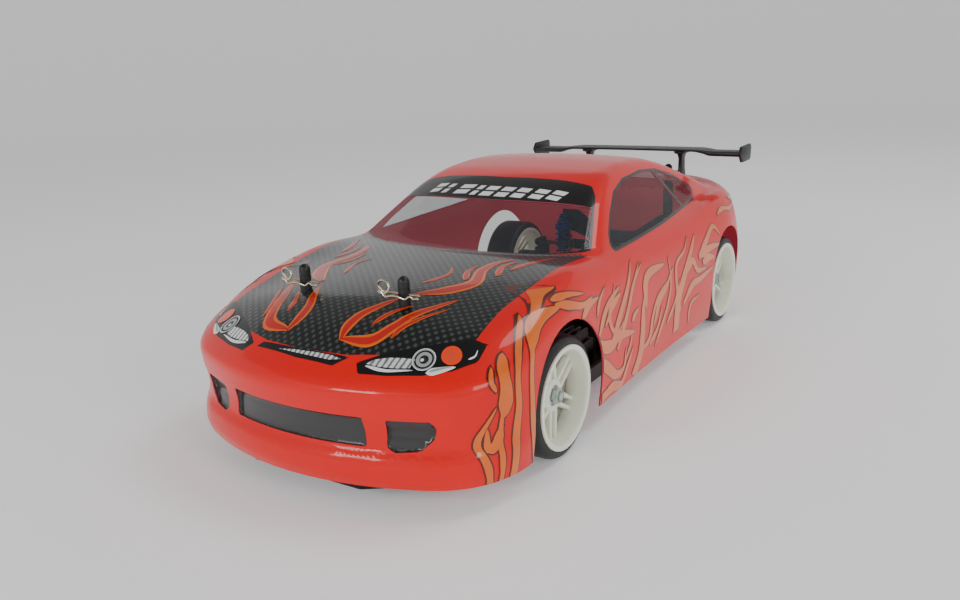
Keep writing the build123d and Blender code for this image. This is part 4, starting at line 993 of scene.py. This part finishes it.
ring_tree = spoke_tree()
spokes = grown(spoke_pair(), ring_tree, pairs=SPOKE_PAIRS, material=glow_nylon)
spoke_mesh = spokes.data
barrel = rounded([(0, RIM_LIP), (0, RIM_BORE + 0.3), (-1.2, RIM_BORE - 0.3), (-DISH, 23.8), (-DISH - 4.5, 23.8),
                  (-DISH - 6, RIM_BORE), (-26, RIM_BORE), (-26, RIM_LIP), (-24.4, RIM_LIP), (-24.4, RIM_SEAT),
                  (-1.6, RIM_SEAT), (-1.6, RIM_LIP)], 0.35, 3)
hub = rounded([(-DISH + 0.6, 5.4), (-DISH + 0.6, HUB_RADIUS - 0.8), (-DISH, HUB_RADIUS), (-DISH - 5, HUB_RADIUS),
               (-DISH - 8.5, 7.6), (-DISH - 8.5, 2.2), (-DISH - 1.4, 2.2), (-DISH - 1.4, 5.4)], 0.4, 3)
tread = [(-1.0, 25.9), (-0.9, 28.4), (-1.2, 29.9), (-2.0, 31.1), (-3.4, 31.8), (-5.2, 32.0), (-20.8, 32.0),
         (-22.6, 31.8), (-24.0, 31.1), (-24.8, 29.9), (-25.1, 28.4), (-25.0, 25.9), (-22.5, 26.3), (-13, 26.9),
         (-3.5, 26.3)]
axle_shaft = rounded([(-3.4, 0.01), (-3.4, 2.0), (-33, 2.0), (-33, 0.01)], 0.3, 2)


def hexagon(across, x0, x1, chamfer):
    """A hexagonal prism along x with its corners chamfered at both ends."""
    r = across / 3 ** 0.5
    rings = ((x0, r - chamfer), (x0 + chamfer * 0.6, r), (x1 - chamfer * 0.6, r), (x1, r - chamfer))
    points = [(x, q * cos(pi / 3 * k), q * sin(pi / 3 * k)) for x, q in rings for k in range(6)]
    faces = [(i * 6 + k, i * 6 + (k + 1) % 6, (i + 1) * 6 + (k + 1) % 6, (i + 1) * 6 + k)
             for i in range(3) for k in range(6)]
    return points, faces + [tuple(range(6))[::-1], tuple(range(18, 24))]


def placed(made, corner):
    """Move a wheel's piece from its drawing, with x = 0 at the wheel's outer face, to its corner."""
    side = 1 if "left" in corner else -1
    middle = axle_place(corner)
    made.data.transform(Matrix.Translation((side * 96 * MM, middle.y * MM, middle.z * MM))
                        @ Matrix.Diagonal((side, 1, 1, 1)))
    if side < 0:
        made.data.flip_normals()
    return made


for corner in ("front_left", "front_right", "rear_left", "rear_right"):
    rim_parts = [turned(barrel, 128) + (0,), turned(hub, 64) + (0,)]
    rim = clean_mesh(corner + "_glow_rim", rim_parts, [glow_nylon])
    work = bmesh.new()
    work.from_mesh(rim.data)
    work.from_mesh(spoke_mesh)
    work.to_mesh(rim.data)
    work.free()
    sharpen(placed(rim, corner), 40)
    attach(rim, corner + "_wheel")
    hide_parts(corner + "_rim")

    carcass = clean_mesh(corner + "_slick_tyre", [turned(rounded(tread, 0.5, 2), 144) + (0,)], [slick_rubber])
    tyre = placed(carcass, corner)
    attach(tyre, corner + "_wheel")
    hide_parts(corner + "_tyre")

    flange = rounded([(-DISH - 1.3, 2.0), (-DISH - 1.3, 4.9), (-DISH - 0.3, 4.9), (-DISH + 0.1, 4.0),
                      (-DISH + 0.1, 2.0)],
                     0.2, 2)
    insert = rounded([(-4.3, 2.0), (-4.3, 3.0), (-3.5, 2.9), (-3.4, 2.0)], 0.2, 2)
    nut = clean_mesh(corner + "_axle_and_nut", [
        turned(axle_shaft, 32) + (0,), turned(flange, 48) + (0,), hexagon(7.2, -DISH, -4.2, 0.5) + (0,),
        turned(insert, 32) + (1,)], [zinc_steel, nut_nylon])
    sharpen(placed(nut, corner), 30)
    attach(nut, corner + "_wheel")
    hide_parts(corner + "_axle")
bpy.data.objects.remove(spokes)

# ================================================================ rear wing
# An injection-moulded ABS wing: a thin raised middle blade, thicker and lower outer blades, a six-sided plate
# at each end, and two flanged stays screwed to the boot lid.
WING_CHORD = 27.0
wing_low, wing_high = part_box("rear_wing")
WING_MIDDLE = (wing_low.y + wing_high.y) / 2 / MM
WING_HEIGHT = 119.5
STAY_X, STAY_FOOT = 40.4, 97.0

# Moulded ABS: satin black with a fine spark-eroded grain.
satin_abs, abs_tree, abs_shader = material("satin_black_abs", "#111213", 0.42, IOR=1.53)
abs_grain = node(abs_tree, "ShaderNodeTexNoise", {"Scale": 1400.0, "Detail": 3.0},
                 Vector=node(abs_tree, "ShaderNodeTexCoord").outputs["Object"])
abs_bump = node(abs_tree, "ShaderNodeBump", {"Strength": 0.12, "Distance": 0.0001}, Height=abs_grain.outputs["Fac"])
abs_tree.links.new(abs_bump.outputs["Normal"], abs_shader.inputs["Normal"])
abs_rough = node(abs_tree, "ShaderNodeMapRange", {"To Min": 0.34, "To Max": 0.52}, Value=abs_grain.outputs["Fac"])
abs_tree.links.new(abs_rough.outputs["Result"], abs_shader.inputs["Roughness"])

blade_height = curve((0, 1.4), (52, 1.2), (60, 0.2), (66, -0.9), (91, -1.0))
blade_half = curve((0, 1.1), (52, 1.1), (60, 1.5), (66, 2.1), (91, 2.2))
stations = [0, 25, 45, 52, 55, 58, 60, 62, 64, 66, 75, 88.8]
stations = [-s for s in stations[:0:-1]] + stations
section = [(-0.5, 0.15), (-0.49, 0.5), (-0.44, 0.85), (-0.3, 1.0), (0, 0.95), (0.3, 0.7), (0.47, 0.35), (0.5, 0.0),
           (0.47, -0.25), (0.3, -0.55), (0, -0.85), (-0.3, -1.0), (-0.44, -0.8), (-0.49, -0.3)]
blade_points = [(x, WING_MIDDLE + WING_CHORD * u, WING_HEIGHT + float(blade_height(abs(x)))
                 + float(blade_half(abs(x))) * v) for x in stations for u, v in section]
n = len(section)
blade_faces = [(i * n + j, (i + 1) * n + j, (i + 1) * n + (j + 1) % n, i * n + (j + 1) % n)
               for i in range(len(stations) - 1) for j in range(n)]
blade_faces += [tuple(range(n)), tuple(range((len(stations) - 1) * n, len(stations) * n))[::-1]]

plate_outline = rounded([(-14.6, 0.4), (-10.4, 5.6), (13.2, 6.0), (14.8, 3.4), (13.0, -6.6), (-8.6, -6.8)], 1.2, 3)


def end_plate(side):
    """A six-sided plate with a chamfered outer face."""
    rings = ((88.4, 0.94), (88.9, 1.0), (90.4, 1.0), (91.2, 0.86))
    points = [(side * x, WING_MIDDLE + u * k, WING_HEIGHT - 0.6 + v * k) for x, k in rings for u, v in plate_outline]
    m = len(plate_outline)
    faces = [(i * m + j, i * m + (j + 1) % m, (i + 1) * m + (j + 1) % m, (i + 1) * m + j)
             for i in range(3) for j in range(m)]
    return points, faces + [tuple(range(m)), tuple(range(3 * m, 4 * m))]


def stay(side):
    """One stay: a foot on the boot lid, a tapering web and a flange under the blade."""
    levels = ((STAY_FOOT, 4.6, 7.4), (STAY_FOOT + 1.6, 4.6, 7.4), (STAY_FOOT + 2.4, 2.0, 5.4),
              (STAY_FOOT + 9, 1.6, 4.3), (STAY_FOOT + 17, 1.6, 4.0), (STAY_FOOT + 20.4, 2.2, 5.0),
              (STAY_FOOT + 21.2, 4.2, 7.0), (STAY_FOOT + 23.0, 4.2, 7.0))
    points, faces = [], []
    for z, half_x, half_y in levels:
        outline = rounded([(-half_x, -half_y), (half_x, -half_y), (half_x, half_y), (-half_x, half_y)], 1.0, 3)
        points += [(side * STAY_X + u, WING_MIDDLE - 4 + v, z) for u, v in outline]
    m = len(points) // len(levels)
    for i in range(len(levels) - 1):
        faces += [(i * m + j, i * m + (j + 1) % m, (i + 1) * m + (j + 1) % m, (i + 1) * m + j) for j in range(m)]
    return points, faces + [tuple(range(m)), tuple(range((len(levels) - 1) * m, len(levels) * m))]


wing = clean_mesh("rear_wing_moulding", [(blade_points, blade_faces, 0)]
                  + [end_plate(s) + (0,) for s in (-1, 1)] + [stay(s) + (0,) for s in (-1, 1)], [satin_abs])
sharpen(wing, 38)
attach(wing, "chassis")
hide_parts("rear_wing")

# ================================================================ body posts and clips
# Black nylon posts stand on the chassis and pass through the shell; a sprung steel R-clip through a cross hole
# in each keeps the shell down. The clips are bent from 1.2 mm wire with a bright plated finish.
POST_RADIUS, COLLAR_RADIUS = 3.0, 4.0
FRONT_POST, REAR_POST = (32.0, FRONT_AXLE - 45.5), (30.0, REAR_AXLE + 56.0)
POSTS = [(s * FRONT_POST[0], FRONT_POST[1], 78.0, 99.6, 90.5) for s in (1, -1)]
POSTS += [(s * REAR_POST[0], REAR_POST[1], 94.0, 109.2, 103.5) for s in (1, -1)]

# Moulded nylon 6: deep black with a soft waxy sheen and faint flow mottling.
black_nylon, nylon_tree, nylon_shader = material("black_moulded_nylon", "#0C0D0E", 0.38, IOR=1.53)
nylon_cloud = node(nylon_tree, "ShaderNodeTexNoise", {"Scale": 120.0, "Detail": 3.0},
                   Vector=node(nylon_tree, "ShaderNodeTexCoord").outputs["Object"])
nylon_rough = node(nylon_tree, "ShaderNodeMapRange", {"To Min": 0.3, "To Max": 0.5}, Value=nylon_cloud.outputs["Fac"])
nylon_tree.links.new(nylon_rough.outputs["Result"], nylon_shader.inputs["Roughness"])
nylon_tone = node(nylon_tree, "ShaderNodeMix", {"data_type": "RGBA"}, _0=nylon_cloud.outputs["Fac"])
nylon_tone.inputs[6].default_value, nylon_tone.inputs[7].default_value = linear("#090A0B"), linear("#141517")
nylon_tree.links.new(nylon_tone.outputs[2], nylon_shader.inputs["Base Color"])


def upright(profile, x, y, segments=40):
    """A closed profile of (height, radius) turned round a vertical axis at x, y."""
    points, faces = turned(profile, segments)
    return [(x + q[1], y + q[2], q[0]) for q in points], faces


post_parts = []
for x, y, collar, top, clip in POSTS:
    dome = [(top - 3.0 * (1 - sin(a)), max(POST_RADIUS * cos(a), 0.01)) for a in np.linspace(0, pi / 2, 8)]
    rings = [(clip + 3.2, 3.0), (clip + 3.2, 2.7), (clip + 3.7, 2.7), (clip + 3.7, 3.0)]
    profile = [(8, 0.01), (8, COLLAR_RADIUS), (collar - 0.4, COLLAR_RADIUS), (collar, COLLAR_RADIUS - 0.4),
               (collar, POST_RADIUS)] + rings + dome
    post_parts.append(upright(profile, x, y) + (0,))
posts = clean_mesh("body_post_set", post_parts, [black_nylon])
sharpen(posts, 35)
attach(posts, "chassis")
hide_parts("body_posts")

# Plated spring wire: a warm bright silver.
clip_wire, wire_tree, wire_shader = material("plated_spring_wire", "#D8CDB4", 0.18, 1.0)
wire_noise = node(wire_tree, "ShaderNodeTexNoise", {"Scale": 700.0, "Detail": 3.0},
                  Vector=node(wire_tree, "ShaderNodeTexCoord").outputs["Object"])
wire_rough = node(wire_tree, "ShaderNodeMapRange", {"To Min": 0.1, "To Max": 0.3}, Value=wire_noise.outputs["Fac"])
wire_tree.links.new(wire_rough.outputs["Result"], wire_shader.inputs["Roughness"])


def wire_tree_nodes():
    """Geometry Nodes: a round wire along the modelled line of edges."""
    tree = bpy.data.node_groups.new("bent_wire", "GeometryNodeTree")
    face = tree.interface
    face.new_socket("Geometry", in_out="INPUT", socket_type="NodeSocketGeometry")
    face.new_socket("Wire Radius", in_out="INPUT", socket_type="NodeSocketFloat")
    face.new_socket("Sides", in_out="INPUT", socket_type="NodeSocketInt")
    face.new_socket("Material", in_out="INPUT", socket_type="NodeSocketMaterial")
    face.new_socket("Geometry", in_out="OUTPUT", socket_type="NodeSocketGeometry")
    given = node(tree, "NodeGroupInput")
    line = node(tree, "GeometryNodeMeshToCurve", None, Mesh=given.outputs["Geometry"])
    circle = node(tree, "GeometryNodeCurvePrimitiveCircle", None, Resolution=given.outputs["Sides"],
                  Radius=given.outputs["Wire Radius"])
    tube = node(tree, "GeometryNodeCurveToMesh", {"Fill Caps": True}, Curve=line.outputs[0],
                Profile_Curve=circle.outputs[0])
    smooth = node(tree, "GeometryNodeSetShadeSmooth", None, Geometry=tube.outputs[0])
    real = node(tree, "GeometryNodeRealizeInstances", None, Geometry=smooth.outputs[0])
    painted = node(tree, "GeometryNodeSetMaterial", None, Geometry=real.outputs[0],
                   Material=given.outputs["Material"])
    node(tree, "NodeGroupOutput", None, Geometry=painted.outputs[0])
    return tree


def wires(name, paths, radius, sides, wire_material, tree):
    """One mesh of round wires along several lists of points in millimetres."""
    points, edges = [], []
    for path in paths:
        base = len(points)
        points += [tuple(c * MM for c in q) for q in path]
        edges += [(base + i, base + i + 1) for i in range(len(path) - 1)]
    mesh = bpy.data.meshes.new(name)
    mesh.from_pydata(points, edges, [])
    made = bpy.data.objects.new(name, mesh)
    bpy.context.scene.collection.objects.link(made)
    return grown(made, tree, wire_radius=radius * MM, sides=sides, material=wire_material)


def clip_path(x, y, z):
    """An R-clip: a straight leg through the post, a ring beside it and a waved leg round the post's front."""
    ring = [(x - 11.2 - 4.2 * sin(a), y - 1.6 * (1 - cos(a / 2)), z + 3.0 - 3.0 * cos(a))
            for a in np.linspace(0.15, 2 * pi + 0.5, 34)]
    straight = [(x + 9.5, y, z), (x + 2, y, z), (x - 6, y, z)]
    wave = [(x - 12.0, y - 3.2, z + 1.2), (x - 9.0, y - 3.6, z - 1.4), (x - 6.4, y - 3.9, z - 0.9),
            (x - 3.6, y - 4.4, z - 0.2), (x, y - 4.6, z - 0.3), (x + 3.6, y - 4.2, z - 1.2),
            (x + 6.2, y - 3.9, z + 0.4), (x + 8.4, y - 4.0, z - 0.6), (x + 11, y - 4.2, z - 0.1)]
    return straight + ring + wave


def eased(path, steps=6):
    """A smooth line through every point of a path."""
    q = np.asarray(path, float)
    q = np.vstack([2 * q[0] - q[1], q, 2 * q[-1] - q[-2]])
    line = []
    for i in range(1, len(q) - 2):
        a, b, c, d = q[i - 1:i + 3]
        for t in np.linspace(0, 1, steps, endpoint=False):
            line.append(b + 0.5 * t * (c - a + t * (2 * a - 5 * b + 4 * c - d + t * (3 * (b - c) + d - a))))
    return line + [q[-2]]


bent_wire = wire_tree_nodes()
clips = wires("body_clip_set", [eased(clip_path(x, y, clip), 3) for x, y, collar, top, clip in POSTS], 0.6, 10,
              clip_wire, bent_wire)
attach(clips, "chassis")
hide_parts("body_clips")

# ================================================================ damper springs
# Coil springs of 1.2 mm wire on the four dampers, with closed ground ends, painted black.
SPRING_TURNS, SPRING_RADIUS = 6.5, 6.7

# Powder-coated spring wire: an even, slightly rough black coat.
black_spring, spring_tree, spring_shader = material("powder_coated_spring", "#151618", 0.45, IOR=1.5)
spring_cloud = node(spring_tree, "ShaderNodeTexNoise", {"Scale": 800.0, "Detail": 3.0},
                    Vector=node(spring_tree, "ShaderNodeTexCoord").outputs["Object"])
spring_bump = node(spring_tree, "ShaderNodeBump", {"Strength": 0.3, "Distance": 0.0001},
                   Height=spring_cloud.outputs["Fac"])
spring_tree.links.new(spring_bump.outputs["Normal"], spring_shader.inputs["Normal"])
for corner in ("front_left", "front_right", "rear_left", "rear_right"):
    low, high = (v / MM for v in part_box(corner + "_spring"))
    middle_x, middle_y = (low.x + high.x) / 2, (low.y + high.y) / 2
    coil = []
    for s in np.linspace(0, 1, 200):
        rise = np.clip((s * (SPRING_TURNS + 2) - 1) / SPRING_TURNS, 0, 1)
        turn = 2 * pi * s * (SPRING_TURNS + 2)
        pressed = 0.6 * np.clip(s * (SPRING_TURNS + 2), 0, 1) - 0.6 * np.clip((1 - s) * (SPRING_TURNS + 2), 0, 1)
        coil.append((middle_x + SPRING_RADIUS * cos(turn), middle_y + SPRING_RADIUS * sin(turn),
                     low.z + 1.2 + pressed * 0.9 + (high.z - low.z - 2.4) * rise))
    spring = wires(corner + "_coil_spring", [coil], 0.6, 8, black_spring, bent_wire)
    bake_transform(spring)
    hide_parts(corner + "_spring")

# ================================================================ chassis parts
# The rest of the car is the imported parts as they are: moulded nylon chassis plate, gearboxes, arms and hubs, steel
# shafts, blue anodised dampers, a can motor, a shrink-wrapped battery and a foam bumper.


def finish(name, colour, other, rough, rough_other, metal, scale, bump=0.0, **extra):
    """A material whose tone and roughness wander over patches of the given scale."""
    made, tree, shader = material(name, colour, rough, metal, **extra)
    place = node(tree, "ShaderNodeTexCoord").outputs["Object"]
    cloud = node(tree, "ShaderNodeTexNoise", {"Scale": scale, "Detail": 4.0}, Vector=place)
    tone = node(tree, "ShaderNodeMix", {"data_type": "RGBA"}, _0=cloud.outputs["Fac"])
    tone.inputs[6].default_value, tone.inputs[7].default_value = linear(colour), linear(other)
    tree.links.new(tone.outputs[2], shader.inputs["Base Color"])
    spread = node(tree, "ShaderNodeMapRange", {"To Min": rough, "To Max": rough_other}, Value=cloud.outputs["Fac"])
    tree.links.new(spread.outputs["Result"], shader.inputs["Roughness"])
    if bump:
        relief = node(tree, "ShaderNodeBump", {"Strength": bump, "Distance": 0.0003}, Height=cloud.outputs["Fac"])
        tree.links.new(relief.outputs["Normal"], shader.inputs["Normal"])
    return made


finishes = {
    "red_polycarbonate": red_paint, "smoked_polycarbonate": smoke, "black_plastic": satin_abs,
    "black_nylon": black_nylon, "white_nylon": glow_nylon, "tyre": slick_rubber, "steel": zinc_steel,
    "spring_steel": black_spring,
    # anodised aluminium: a dyed blue oxide over turned metal
    "blue_aluminium": finish("blue_anodised_aluminium", "#1C3F9C", "#2A55BC", 0.22, 0.36, 1.0, 300.0),
    "aluminium": finish("turned_aluminium", "#C4C6C8", "#D6D8DA", 0.25, 0.4, 1.0, 400.0),
    # plated motor can with a faint brushed grain
    "motor_steel": finish("plated_motor_can", "#9FA3A8", "#B9BDC1", 0.25, 0.42, 1.0, 250.0, 0.1),
    # heat-shrink PVC sleeve, wrinkled over the cells
    "battery_sleeve": finish("shrink_sleeve_pvc", "#1F4FA0", "#2B62B8", 0.3, 0.45, 0.0, 90.0, 0.4, IOR=1.53),
    # closed-cell EVA foam with fine open pores where it was cut
    "black_foam": finish("cut_eva_foam", "#141416", "#242427", 0.85, 0.98, 0.0, 1100.0, 0.8),
}
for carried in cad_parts.values():
    for part_slot in carried.material_slots:
        if part_slot.material and part_slot.material.name in finishes:
            part_slot.material = finishes[part_slot.material.name]
